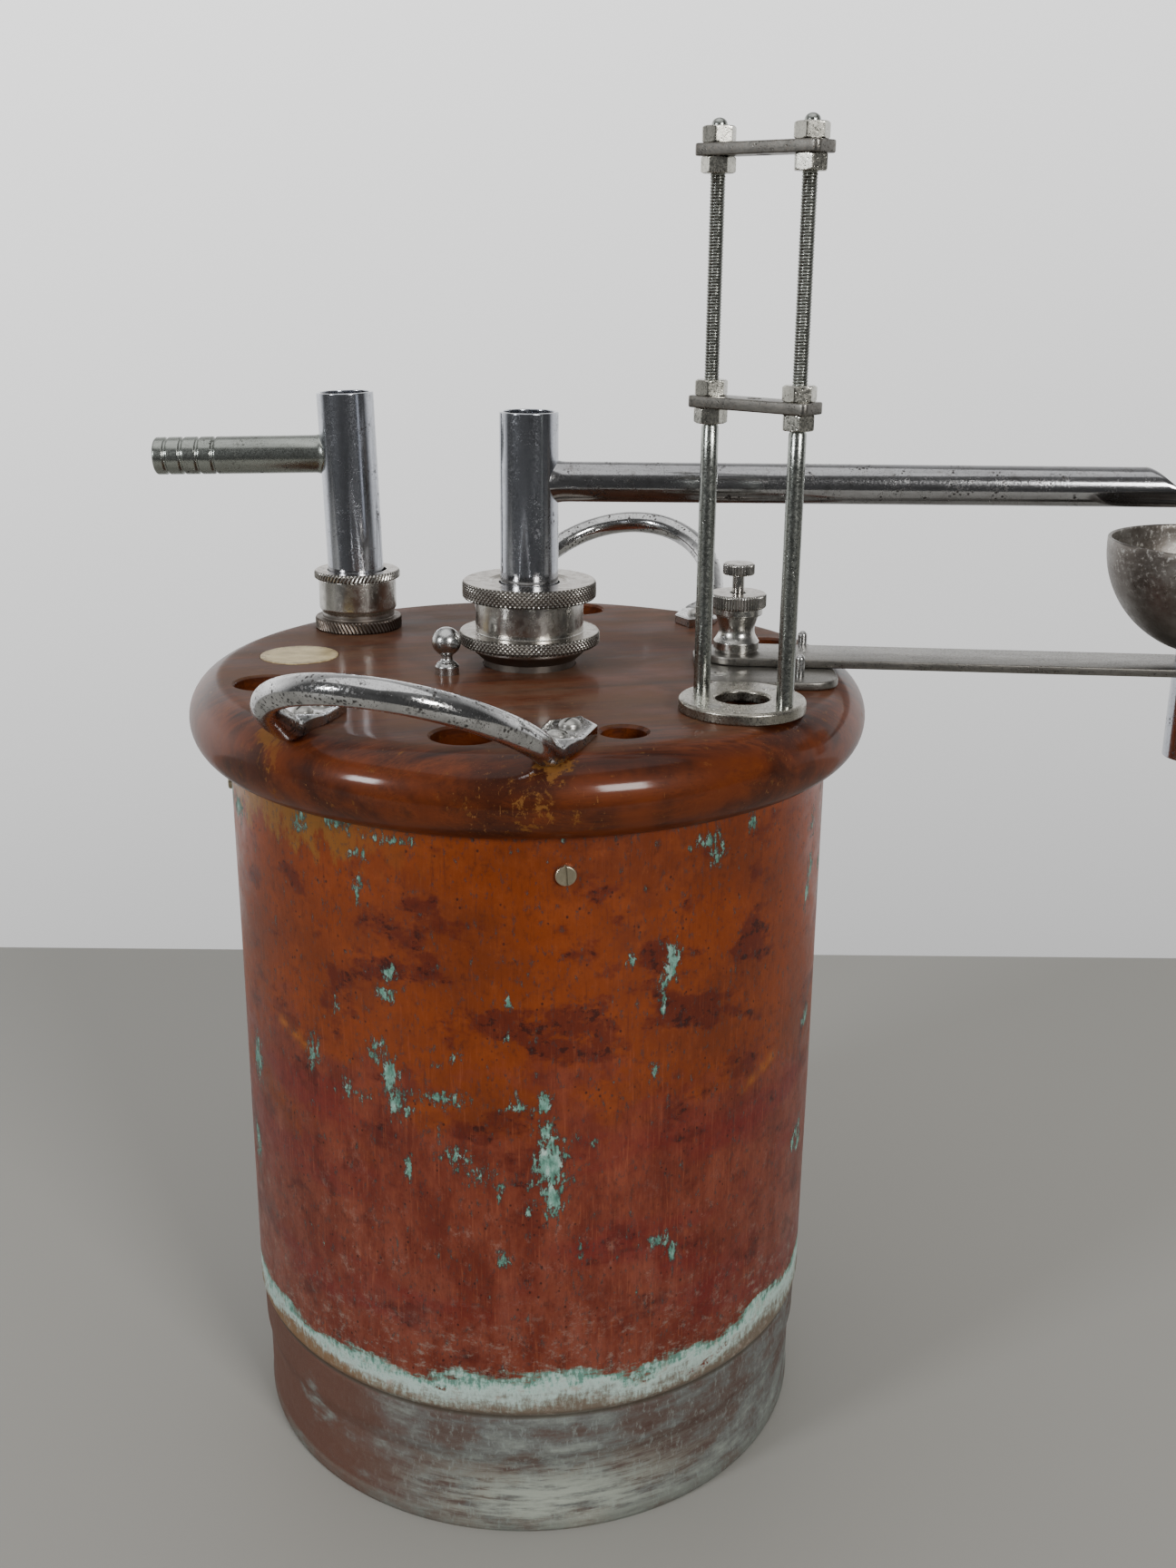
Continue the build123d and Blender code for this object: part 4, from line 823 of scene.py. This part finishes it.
tab_screws = []
for angle in (front_way, rear_way):
    for side in (-1, 1):
        for k, inset in enumerate((11, 22)):
            at = about_z(angle) @ (foot_out - inset, side * half_span, lid_high[2] + tab_thick)
            slot_turn = 35 + 77 * k + 50 * side + angle
            tab_screws.append(slotted_head(3.05, 2.0, at, (0, 0), slot_turn, slot=0.7, deep=0.7))
screw_set("handle_tab_screws", tab_screws, screw_plate, "vessel", "plated_screws", "handle_screws")

# ---------------------------------------------------------------- can screws
# Four cheese-headed brass screws through the sheet hold the can to the wooden plug.
wall_screws = []
for angle, slot_turn in ((-82, 4), (8, 35), (98, 80), (188, 12)):
    at = about_z(angle) @ (can_radius, 0, 222.6)
    wall_screws.append(slotted_head(3.0, 1.25, at, (angle, 90), slot_turn, flat=True, slot=0.7, deep=0.75))
brass_plate = nickel("worn_screw_brass", (0.52, 0.46, 0.33), pit=0.2, tarnish=0.6, rough=0.3)
screw_set("can_screw_heads", wall_screws, brass_plate, "vessel", "plated_screws", "can_screws")

# ---------------------------------------------------------------- ball eye post
# A small turned post with a drilled ball head, for a cord or chain, screwed into the lid.
post_plate = nickel("eye_post_plate", (0.55, 0.55, 0.54), pit=0.35, tarnish=0.45, rough=0.2)
post_at = corners("ball_eye_post")[2]
lid_top = lid_high[2]
ball = np.linspace(-np.arccos(1.7 / 4.5), np.pi / 2 - 0.02, 26)
ball_curve = np.stack([4.5 * np.cos(ball), 10.2 + 4.5 * np.sin(ball)], 1)
stem = eased([(0.1, -1), (3.7, -1), (3.7, 2.6), (3.0, 3.5), (2.3, 3.9), (1.75, 4.7), (1.7, 5.6)], 0.3)
post_outline = np.concatenate([stem, ball_curve[1:]]) + (0, lid_top)
post = skin("eye_post", lathe(post_outline, 64, centre=(post_at[0], post_at[1], 0)))
away = np.radians(-50)
lay = np.array([(0, -np.sin(away), np.cos(away)), (0, np.cos(away), np.sin(away)), (-1, 0, 0)])
eye = np.array([(1.5, -8.0), (1.5, 8.0)])
cross = lathe(eye, 32, frame_of=lay, centre=(post_at[0], post_at[1], lid_top + 10.2))
bored(post, [cross])
dress(post, post_plate, "vessel", "turned_plate", "ball_eye_post")

# ---------------------------------------------------------------- outlet gland and tee
# The outlet stands on the axis: a brass union body with a diamond-knurled disc, screwed down on
# its neck, and a knurled gland nut that squeezes packing round the tee's upright. The tee is
# drawn tube with a long brazed spout cut off at a slant. All is nickel plated over brass.


def wave(x):
    """Triangle wave of period 1: 1 at whole numbers, 0 half way between."""
    return 2 * np.abs(x - np.floor(x) - 0.5)


def diamond_knurl(radius, count, deep, low, high):
    """Bite of crossed V grooves: deep times (1 - lesser of two triangle waves) on the rim's full radius."""
    pitch = 2 * np.pi * radius / count

    def bite(a, r, z):
        lean = z / pitch
        crest = np.minimum(wave(a * count / 2 / np.pi + lean), wave(a * count / 2 / np.pi - lean))
        rim = (r > radius - 0.7) & (z > low) & (z < high)
        return deep * (1 - crest) * rim

    return bite


def straight_knurl(radius, count, deep, low, high, slant=0.0):
    """Bite of V grooves that run up the rim, slanted by so many grooves for each mm of height."""

    def bite(a, r, z):
        rim = (r > radius - 0.7) & (z > low) & (z < high)
        return deep * (1 - wave(a * count / 2 / np.pi + z * slant)) * rim

    return bite


def turned(
    name, outline, node, finish, body, slot, bites=(), columns=128, ease=0.3, step=50, lean=None, at=None,
    sharp=34.0,
):
    """A closed ring-shaped turning about a CAD piece's own axis, with knurling bitten into its rims. The
    mark 'groove' is how deep each point lies."""
    middle = corners(node)[2] if at is None else np.array(at)
    rows = stepped(eased(outline, ease, closed=True), step, closed=True)
    for low, high, fine in [b[:3] for b in bites]:
        rows = stepped(rows, fine, low, high, closed=True)

    def bite(a, r, z):
        return sum((b[3](a, r, z) for b in bites), np.zeros((r.shape[0], a.shape[1])))

    grid = lathe(rows + (0, lid_top), columns, bite=lambda a, r, z: bite(a, r, z - lid_top))
    deep = bite(np.arange(columns)[None, :] / columns * 2 * np.pi, rows[:, :1], rows[:, 1:])
    grid = grid if lean is None else lean(grid)
    grid = grid + np.array((middle[0], middle[1], 0))
    piece = skin(name, grid, ring=True, marks={"groove": deep}, sharp=sharp)
    return dress(piece, finish, body, slot, node)


def knurled(name, tone, rough=0.28):
    """Plated knurling: bright rubbed crests over brown dirt in the grooves."""
    plate = Finish(name, Metallic=1.0)
    haze = plate.noise(2.6, detail=6, roughness=0.7)
    veil = plate.noise((12, 12, 8), detail=4)
    plate.two_tone(veil, tone, 0.7)
    plate.lay(plate.span(haze, 0.48, 0.72, 0, 0.35), 92, 82, 68)
    facing = plate.add("SeparateXYZ", {0: plate.add("NewGeometry", out="Normal")}, out="Z")
    flat_top = plate.span(plate.maths("ABSOLUTE", facing), 0.8, 0.95, 0, 0.6)
    plate.lay(flat_top, 112, 96, 78)
    dirt = plate.span(plate.mark("groove"), 0.08, 0.34)
    plate.lay(plate.times(dirt, 0.8), 62, 54, 46)
    sunk = plate.span(plate.along("Z"), lid_top + 6.6, lid_top + 4.5, 0, 0.75)
    plate.lay(sunk, 70, 54, 42)
    plate.set("Base Color", plate.colour)
    rubbed = plate.span(haze, 0.35, 0.75, rough, rough + 0.2)
    grime = plate.times(plate.most(dirt, sunk), 0.25)
    plate.set("Roughness", plate.plus(rubbed, grime))
    plate.bump(haze, 0.012, 0.3)
    return plate


gland_plate = knurled("gland_plate", (0.54, 0.525, 0.49), rough=0.17)
tube_plate = nickel("tube_plate", (0.56, 0.58, 0.63), pit=0.3, tarnish=0.2, rough=0.1, lines=(4, 4, 30))
outlet_body = [
    (14.6, 2.1), (15.2, 2.1), (18.4, 5.2), (18.4, 6.8), (21.8, 6.8), (22.4, 7.4), (22.4, 10.2),
    (21.8, 10.8), (17.1, 10.8), (17.1, 21.3), (13.0, 21.3), (13.0, 12.0), (9.3, 12.0), (9.3, 10.0),
    (14.6, 10.0),
]
knurl = diamond_knurl(22.4, 92, 0.5, 7.0, 10.6)
turned(
    "outlet_union", outlet_body, "outlet_gland_body", gland_plate, "vessel", "gland_plate",
    [(6.9, 10.7, 0.2, knurl)], columns=736, at=(0, 0),
)
outlet_nut = [
    (9.6, 18.7), (12.9, 18.7), (12.9, 21.4), (20.6, 21.4), (21.2, 22.0), (21.2, 26.2), (20.6, 26.8),
    (12.6, 26.8), (11.6, 26.2), (9.6, 26.2),
]
knurl = diamond_knurl(21.2, 88, 0.5, 21.6, 26.6)
turned(
    "outlet_nut", outlet_nut, "outlet_gland_nut", gland_plate, "outlet_nut_body", "gland_plate",
    [(21.5, 26.7, 0.2, knurl)], columns=704, at=(0, 0),
)
tube_wall, outlet_radius = 1.3, 9.1
outlet_bore = outlet_radius - tube_wall
outlet_tube = [(outlet_bore, 8.0), (outlet_radius, 8.0), (outlet_radius, 78.5), (outlet_bore, 78.5)]
turned(
    "outlet_upright", outlet_tube, "outlet_tee_tube", tube_plate, "outlet_tee", "plated_tube", ease=0.3,
    columns=96, step=8, at=(0, 0),
)


def side_branch(radius, wall, upright, reach, top_reach, bites=(), root=0.5, steps=60):
    """Points of a pipe that leaves an upright along +X. Round it x runs from the saddle sqrt(R^2 - y^2) to
    the end, which is cut square or on a slant that is straight in z; the outside swells by a fillet at the
    root, and ring grooves are bitten near the end."""
    parts = np.linspace(0, 0.12, 14), np.linspace(0.12, 0.6, steps // 3), np.linspace(0.6, 1, steps)
    share = np.unique(np.concatenate(parts))
    a = np.linspace(0, 2 * np.pi, 72, endpoint=False)[None, :]
    out = np.concatenate([share, share[::-1]])[:, None]
    outside = np.concatenate([np.ones(len(share)), np.zeros(len(share))])[:, None]
    r = radius - wall * (1 - outside)
    y, z = r * np.cos(a), r * np.sin(a)
    start = np.sqrt(upright**2 - y**2) - 0.5
    slant = top_reach + (reach - top_reach) * (radius - z) / (2 * radius)
    x = start + out * (slant - start)
    fillet = root * np.exp(-(((x - start - 0.5) / 0.9) ** 2))
    grooves = sum((b[1] * np.exp(-(((reach - x - b[0]) / b[2]) ** 4)) for b in bites), 0 * x)
    worn_end = 0.25 * np.exp(-(((slant - x) / 0.25) ** 2))
    r = r + outside * (fillet - grooves - worn_end) + (1 - outside) * worn_end
    return np.stack([x, r * np.cos(a), r * np.sin(a)], -1)


spout_plate = nickel("spout_plate", (0.42, 0.42, 0.43), pit=0.4, tarnish=0.4, rough=0.1, lines=(34, 3.2, 3.2))
spout_radius, spout_height, lip_end, top_end = 6.15, 57.4, 207.0, 191.4
spout_grid = side_branch(spout_radius, tube_wall, outlet_radius, lip_end, top_end, root=0.55)
spout = skin("outlet_pouring_spout", spout_grid + np.array((0, 0, lid_top + spout_height)), ring=True)
dress(spout, spout_plate, "outlet_tee", "plated_tube", "outlet_spout")
packing = Finish("greased_packing", Roughness=0.7)
strands = packing.noise((2, 2, 0.7), detail=4)
packing.set("Base Color", packing.ramp(strands, (0.35, 42, 34, 26), (0.65, 86, 70, 50)))
packing.bump(strands, 0.2)
coat(packing, "outlet_gland_packing", "inlet_gland_packing")
coat(gland_plate, "outlet_neck", "neck_lock_nuts")

# ---------------------------------------------------------------- inlet gland and tee
# The inlet is a smaller gland of the same make with slant-knurled rings. Its tee leans a little
# in its packing and ends in a ring-grooved nozzle for a rubber hose, brazed on at a collar.
inlet_xy = tuple(inlet_at[:2])
inlet_body = [
    (4.8, -57), (12.0, -57), (12.0, 0), (14.5, 0), (14.9, 0.4), (14.9, 3.7), (14.5, 4.1), (12.4, 4.1),
    (12.4, 6.0), (13.25, 7.4), (13.25, 17.5), (12.2, 17.5), (12.2, 8.0), (10.0, 8.0), (10.0, -53.5),
    (4.8, -53.5),
]
knurl = straight_knurl(14.9, 70, 0.45, 0.1, 4.0, slant=0.4)
turned(
    "inlet_union", inlet_body, "inlet_gland_body", gland_plate, "vessel", "gland_plate",
    [(0.1, 4.0, 0.35, knurl)], columns=560, at=inlet_xy,
)
inlet_nut = [
    (10.1, 15.7), (12.1, 15.7), (12.1, 17.6), (14.4, 17.6), (14.7, 17.9), (14.7, 19.7), (14.1, 20.3),
    (10.1, 20.3),
]
knurl = straight_knurl(14.7, 68, 0.45, 17.65, 20.2, slant=-0.4)
turned(
    "inlet_nut", inlet_nut, "inlet_gland_nut", gland_plate, "inlet_nut_body", "gland_plate",
    [(17.6, 20.2, 0.3, knurl)], columns=544, at=inlet_xy,
)
inlet_lean = 1.6


def lean_inlet(grid):
    """Leans points about the packing's foot, 8 mm above the lid: x' = x cos - z sin, z' = x sin + z cos."""
    c, s = np.cos(np.radians(inlet_lean)), np.sin(np.radians(inlet_lean))
    foot = np.array((0, 0, lid_top + 8))
    return (grid - foot) @ np.array([(c, 0, -s), (0, 1, 0), (s, 0, c)]).T + foot


inlet_radius, inlet_bore = 9.5, 8.2
inlet_tube = [(inlet_bore, -4.0), (inlet_radius, -4.0), (inlet_radius, 79.8), (inlet_bore, 79.8)]
turned(
    "inlet_upright", inlet_tube, "inlet_tee_tube", tube_plate, "inlet_tee", "plated_tube", ease=0.3,
    columns=96, step=8, lean=lean_inlet, at=inlet_xy,
)
grooves = [(d, 0.5, 0.55) for d in (4.0, 9.5, 15.0, 20.5)]
nozzle_reach, nozzle_height, nozzle_way = 65.8, 59.5, 177
nozzle_grid = side_branch(
    6.3, tube_wall, inlet_radius, nozzle_reach, nozzle_reach, grooves, root=0.3, steps=120,
)
nozzle_grid = nozzle_grid @ about_z(nozzle_way).T + np.array((0, 0, lid_top + nozzle_height))
nozzle_plate = nickel(
    "nozzle_plate", (0.38, 0.4, 0.37), pit=0.3, tarnish=0.3, rough=0.2, lines=(24, 3.2, 3.2),
)
nozzle = skin("inlet_nozzle", lean_inlet(nozzle_grid) + np.array((*inlet_xy, 0)), ring=True)
dress(nozzle, nozzle_plate, "inlet_tee", "plated_tube", "inlet_hose_nozzle")

# ---------------------------------------------------------------- coil inside the can
# Drawn copper pipe leads the water round inside the can; it keeps the CAD's shape.
pipe_copper = Finish("drawn_copper", Metallic=1.0, Roughness=0.32)
pipe_tone = pipe_copper.noise(14, detail=5)
pipe_copper.set("Base Color", pipe_copper.ramp(pipe_tone, (0.35, 150, 84, 58), (0.65, 186, 116, 84)))
pipe_copper.bump(pipe_copper.noise(1.5), 0.03, 0.4)
coat(pipe_copper, "water_coil", "coil_unions", "inlet_drop_pipe", "outlet_riser")

# ---------------------------------------------------------------- guide frame
# A steel ring plate over one port carries two rods, screwed at the top, and two flat bars that
# nuts lock at any height. The steel was thinly plated and has rusted grey-brown.


def old_steel(name, tone, rust=0.4, rough=0.35, size=(3.5, 3.5, 7)):
    """Thinly plated steel: grey metal, brown rust in clouds, and fine pits."""
    steel = Finish(name, Metallic=1.0)
    cloud = steel.noise(size, detail=7, roughness=0.7)
    fine = steel.noise(0.7, detail=5, roughness=0.75)
    steel.two_tone(cloud, tone, 0.66)
    steel.lay(steel.span(fine, 0.5, 0.72, 0, rust), 88, 66, 46)
    pits = steel.cells(0.9)
    pits = steel.times(steel.span(pits, 0.3, 0.15), steel.span(cloud, 0.42, 0.6))
    steel.lay(steel.times(pits, 0.8), 46, 38, 32)
    dirt = steel.span(steel.mark("groove"), 0.04, 0.3)
    steel.lay(steel.times(dirt, 0.75), 48, 42, 36)
    steel.set("Base Color", steel.colour)
    steel.set("Roughness", steel.span(fine, 0.3, 0.75, rough, rough + 0.25))
    steel.bump(fine, 0.03, 0.4)
    steel.bump(pits, -0.06, 0.5)
    return steel


rod_steel = old_steel("rod_steel", (0.4, 0.42, 0.39), rust=0.3, rough=0.14, size=(2.5, 2.5, 16))
plate_steel = old_steel("plate_steel", (0.4, 0.38, 0.33), rust=0.5, rough=0.2)
nut_steel = old_steel("nut_steel", (0.55, 0.54, 0.48), rust=0.3, rough=0.16, size=(4, 4, 4))
bar_steel = old_steel("bar_steel", (0.24, 0.23, 0.21), rust=0.5, rough=0.28, size=(5, 5, 5))
ring_outline = [(7.8, 0), (18.4, 0), (18.4, 2.9), (17.8, 3.5), (8.3, 3.5), (7.8, 3.0)]
turned(
    "guide_foot_ring", ring_outline, "guide_ring_plate", plate_steel, "vessel", "guide_steel", columns=144,
    ease=0.35,
)
rod_way = -40.3
ring_foot = np.array((ring_at[0], ring_at[1], 0))
rod_step = about_z(rod_way) @ (14.5, 0, 0)
foot_screws = []
for side in (-1, 1):
    at = ring_foot + about_z(rod_way) @ (0, side * 13.4, lid_top + 3.5)
    foot_screws.append(slotted_head(2.0, 0.15, at, (0, 0), 20 + 60 * side, flat=True, slot=0.6, deep=0.6))
screw_set("ring_screws", foot_screws, screw_plate, "vessel", "plated_screws", "ring_plate_screws")


def guide_rod(name, side, node):
    """Rod turned from a profile: plain below, then a screwed length where r drops by a V thread
    deep(1 - wave(z/pitch - a/2pi)), and a crowned top."""
    plain = np.array([(0.1, 0.2), (2.45, 0.2), (2.45, 78.9), (2.15, 79.4)])
    screwed = np.stack([np.full(560, 2.15), np.linspace(79.5, 156.6, 560)], 1)
    over = np.linspace(0.1, np.pi / 2 - 0.06, 8)
    crown = np.stack([2.1 * np.cos(over), 156.9 + 1.75 * np.sin(over)], 1)
    outline = np.concatenate([stepped(plain, 12), screwed, crown])

    def thread(a, r, z):
        screwed_part = (z > lid_top + 80.2) & (z < lid_top + 156.4)
        return 0.32 * (1 - wave((z - lid_top) / 0.8 - a / 2 / np.pi)) * screwed_part

    grid = lathe(outline + (0, lid_top), 28, centre=ring_foot + side * rod_step, bite=thread)
    a = np.arange(28)[None, :] / 28 * 2 * np.pi
    groove = thread(a, outline[:, :1], outline[:, 1:] + lid_top)
    return dress(
        skin(name, grid, marks={"groove": groove}, sharp=60), rod_steel, "vessel", "guide_steel", node,
    )


guide_rod("left_rod", -1, "guide_rod_left")
guide_rod("right_rod", 1, "guide_rod_right")


def flat_plate(outline, low, high, ease, hole=None):
    """Points of a flat plate: an outline (x, y) carried up through its thickness, drawn in by an eased edge
    r(1 - cos), r(1 - sin) at top and bottom. With a hole the rows run on round the inside."""
    on = np.roll(outline, -1, 0) - np.roll(outline, 1, 0)
    normal = np.stack([on[:, 1], -on[:, 0]], 1) / np.linalg.norm(on, axis=1)[:, None]
    t = np.linspace(0, np.pi / 2, 4)
    inset = ease * (1 - np.concatenate([np.sin(t), np.sin(t[::-1])]))
    z = np.concatenate([low + ease * (1 - np.cos(t)), high - ease * (1 - np.cos(t[::-1]))])
    rows = outline[None] - normal[None] * inset[:, None, None]
    if hole is not None:
        a = np.arctan2(outline[:, 1] - hole[1], outline[:, 0] - hole[0])
        ring = np.stack([hole[0] + hole[2] * np.cos(a), hole[1] + hole[2] * np.sin(a)], 1)
        rows = np.concatenate([ring[None], rows, ring[None]])
        z = np.concatenate([[low], z, [high]])
    return np.concatenate([rows, np.broadcast_to(z[:, None, None], rows.shape[:2] + (1,))], -1)


def rounded_box(length, width, corner, steps=10):
    """Rectangle with round corners, counter-clockwise about the origin, with points along its long sides."""
    a = np.concatenate([np.linspace(q, q + np.pi / 2, steps) for q in (0, np.pi / 2, np.pi, 3 * np.pi / 2)])
    quarter = np.repeat([(1, 1), (-1, 1), (-1, -1), (1, -1)], steps, axis=0)
    loop = quarter * (length / 2 - corner, width / 2 - corner) + corner * np.stack([np.cos(a), np.sin(a)], 1)
    return stepped(loop, 1.2, closed=True)


def placed(grid, at, degrees):
    """Turns points about Z and moves them."""
    return grid @ about_z(degrees).T + np.array((at[0], at[1], 0))


def hexagon_nut(at, flats, low, high, turn_by):
    """Points of a nut: radius is the lesser of the hexagon's and a 30 degree cone's at each end."""
    a = np.arange(96)[None, :] / 96 * 2 * np.pi
    tall = high - low
    z = [np.linspace(0, 0.9, 6), np.linspace(0.9, tall - 0.9, 3)[1:-1], np.linspace(tall - 0.9, tall, 6)]
    z = np.concatenate(z)[:, None]
    flat_r = flats / 2 / np.cos((a - turn_by + np.pi / 6) % (np.pi / 3) - np.pi / 6)
    cone = flats / 2 * 0.97 + np.minimum(z, tall - z) * 1.73
    r = np.minimum(flat_r, cone)
    grid = np.stack([r * np.cos(a), r * np.sin(a), z + low + 0 * r], -1)
    mouth = np.stack([2.2 * np.cos(a[0]), 2.2 * np.sin(a[0]), 0 * a[0]], -1)
    return np.concatenate([[mouth + (0, 0, low)], grid, [mouth + (0, 0, high)]]) + at


nut_tall = 4.3
for level in ("lower", "upper"):
    body, bar_node = level + "_guide", level + "_crossbar"
    low, high, middle = corners(bar_node)
    bar = flat_plate(rounded_box(39.0, 9.5, 1.6), low[2], high[2], 0.45, hole=(0, 0, 2.0))
    bar = skin(level + "_bar", placed(bar, middle, rod_way), ring=True)
    dress(bar, bar_steel, body, "bar_steel", bar_node)
    nuts, turns = [], iter(np.radians(np.array((4.0, 23.0, 37.0, 15.0)) + rod_way))
    for side in (-1, 1):
        for bottom in (low[2] - nut_tall, high[2]):
            nut_at = ring_foot + side * rod_step
            nuts.append(hexagon_nut(nut_at, 8.2, bottom, bottom + nut_tall, next(turns)))
    dress(skin(level + "_bar_nuts", nuts, sharp=25), nut_steel, body, "nut_steel", bar_node + "_nuts")

# ---------------------------------------------------------------- swing arm, clamp and funnel
# A steel arm turns on a stud in its base plate, between two stop pins, under a waisted boss that
# a knurled nut clamps and a small knurled screw locks. It carries a spun funnel bowl, tinned
# inside and out, whose drain tube goes down through the arm's end.
arm_steel = old_steel("arm_steel", (0.24, 0.23, 0.21), rust=0.4, rough=0.26, size=(16, 5, 5))
turned_plate = knurled("clamp_plate", (0.55, 0.54, 0.51), rough=0.16)
low, high, middle = corners("arm_base_plate")
base = flat_plate(rounded_box(high[0] - low[0], high[1] - low[1], 9.0), low[2], high[2], 0.5)
dress(skin("arm_foot_plate", placed(base, middle, 0)), arm_steel, "vessel", "bar_steel", "arm_base_plate")
foot_screws = []
for k, (x, y) in enumerate(((58.7, -23.0), (58.7, 9.0), (90.0, -5.0))):
    foot_screws.append(
        slotted_head(2.4, 0.15, (x, y, high[2]), (0, 0), 70 * k + 15, flat=True, slot=0.7, deep=0.6)
    )
screw_set("arm_foot_screws", foot_screws, screw_plate, "vessel", "plated_screws", "base_plate_screws")

pivot_x, pivot_y = corners("pivot_stud")[2][:2]
arm_way = -4.2
reach, arm_width = 144.9, 21.0
low, high, _ = corners("funnel_arm")
slot = rounded_box(reach + arm_width, arm_width, arm_width / 2 - 0.01, steps=22) + (reach / 2, 0)
arm_grid = placed(flat_plate(slot, low[2], high[2], 0.4), (pivot_x, pivot_y), arm_way)
dress(skin("swing_bar", arm_grid), arm_steel, "swing_arm", "bar_steel", "funnel_arm")

pin_top, pin_radius, pin_gap = corners("stop_pins")[1][2], 1.5, 0.15
far_pin = placed(np.array((21.5, arm_width / 2 + pin_radius + pin_gap, 0.0)), (pivot_x, pivot_y), arm_way)
over = np.linspace(0, np.pi / 2 - 0.05, 8)
dome = np.stack([pin_radius * np.cos(over), pin_top - pin_radius + pin_radius * np.sin(over)], 1)
pin_outline = np.concatenate([[(0.1, lid_top + 0.5), (pin_radius, lid_top + 0.5)], dome])
pins = [lathe(pin_outline, 32, centre=(x, y, 0)) for x, y in ((83.1, -24.9), far_pin[:2])]
dress(skin("stop_pin_pair", pins), post_plate, "vessel", "turned_plate", "stop_pins")

foot = 6.2
waist = np.linspace(0, 1, 16)
waist_r = 6.9 - 1.3 * np.sin(np.pi * waist**0.8) ** 1.2 - 0.1 * waist
boss_outline = np.concatenate([
    [(3.06, 5.3), (6.6, 5.3), (6.6, foot), (7.15, foot), (7.15, foot + 2.4)],
    np.stack([waist_r, foot + 2.8 + (17.0 - foot - 2.8) * waist], 1), [(3.06, 17.0)],
])
turned(
    "arm_bearing_boss", boss_outline, "arm_boss", turned_plate, "swing_arm", "turned_plate", columns=96,
    ease=0.15, at=(pivot_x, pivot_y), sharp=50,
)
nut_outline = [
    (3.06, 17.1), (7.6, 17.1), (7.9, 17.4), (7.9, 19.5), (8.6, 19.5), (8.95, 19.9), (8.95, 23.4),
    (8.4, 23.9), (2.6, 23.9), (2.6, 22.4), (3.06, 22.4),
]
knurl = straight_knurl(8.95, 60, 0.34, 19.5, 23.7)
turned(
    "clamp_hand_nut", nut_outline, "clamp_nut", turned_plate, "clamp_nut_body", "turned_plate",
    [(19.55, 23.7, 0.6, knurl)], columns=480, ease=0.2, at=(pivot_x, pivot_y),
)
locker = [
    (0.1, 6.0), (1.5, 6.0), (1.5, 22.1), (1.9, 22.1), (1.9, 29.7), (4.65, 29.7), (4.95, 30.0), (4.95, 32.7),
    (4.45, 33.2), (0.1, 33.2),
]
knurl = straight_knurl(4.95, 36, 0.3, 29.8, 33.0)
turned(
    "clamp_lock_screw", locker, "clamp_screw", turned_plate, "clamp_screw_body", "turned_plate",
    [(29.8, 33.0, 0.6, knurl)], columns=288, ease=0.2, at=(pivot_x, pivot_y),
)
coat(post_plate, "pivot_stud")

tin = Finish("dull_tinned_copper", Metallic=0.85)
tin_cloud = tin.noise((14, 14, 9), detail=7, roughness=0.65)
tin_fine = tin.noise(1.6, detail=6, roughness=0.75)
height = tin.along("Z")
tin.colour = tin.ramp(tin_cloud, (0.32, 78, 70, 64), (0.5, 108, 102, 96), (0.68, 134, 131, 126))
_, bowl_high, bowl_at = corners("funnel_bowl")
rim = bowl_high[2]
scale_line = tin.times(tin.span(height, rim - 22, rim - 2), tin.span(tin_fine, 0.52, 0.64))
tin.lay(tin.times(scale_line, 0.7), 196, 194, 188)
spots = tin.noise(2.8, detail=7, roughness=0.7, centre=(3, 3, 3))
tin.lay(tin.span(spots, 0.6, 0.68, 0, 0.75), 74, 62, 54)
tin.set("Base Color", tin.colour)
tin.set("Roughness", tin.span(tin_fine, 0.3, 0.7, 0.3, 0.52))
tin.bump(tin_fine, 0.08, 0.5)
bowl_r, bowl_wall, collar = 32.48, 1.2, 2.5
centre_z = rim - collar
low_turn = np.arccos(8.6 / bowl_r)
inner_r, half_wall = bowl_r - bowl_wall, bowl_wall / 2


def arc(centre, radius, start, end, count):
    """Points (r, z) of an arc, by its turn from the outward direction."""
    turn = np.linspace(start, end, count)
    return np.array(centre) + radius * np.stack([np.cos(turn), np.sin(turn)], 1)


bowl_outline = np.concatenate([
    arc((0, 0), bowl_r, -low_turn, 0, 40),
    arc((bowl_r - half_wall, collar - half_wall), half_wall, 0, np.pi, 7),
    arc((0, 0), inner_r, 0, -np.arccos(7.8 / inner_r), 40),
])
bowl = skin(
    "funnel_cup", lathe(bowl_outline + (0, centre_z), 160, centre=(bowl_at[0], bowl_at[1], 0)), ring=True,
    sharp=50,
)
dress(bowl, tin, "swing_arm", "dull_bowl", "funnel_bowl")
drain_low, drain_high, _ = corners("funnel_drain_tube")
z0, z1 = drain_low[2] - lid_top, drain_high[2] - lid_top
drain = [(7.8, z0), (9.0, z0), (9.0, 2.7), (8.6, 2.7), (8.6, z1 + 0.6), (7.8, z1 + 0.6)]
turned(
    "drain_pipe", drain, "funnel_drain_tube", tube_plate, "swing_arm", "dull_bowl", columns=96, ease=0.25,
    step=4, at=bowl_at[:2],
)
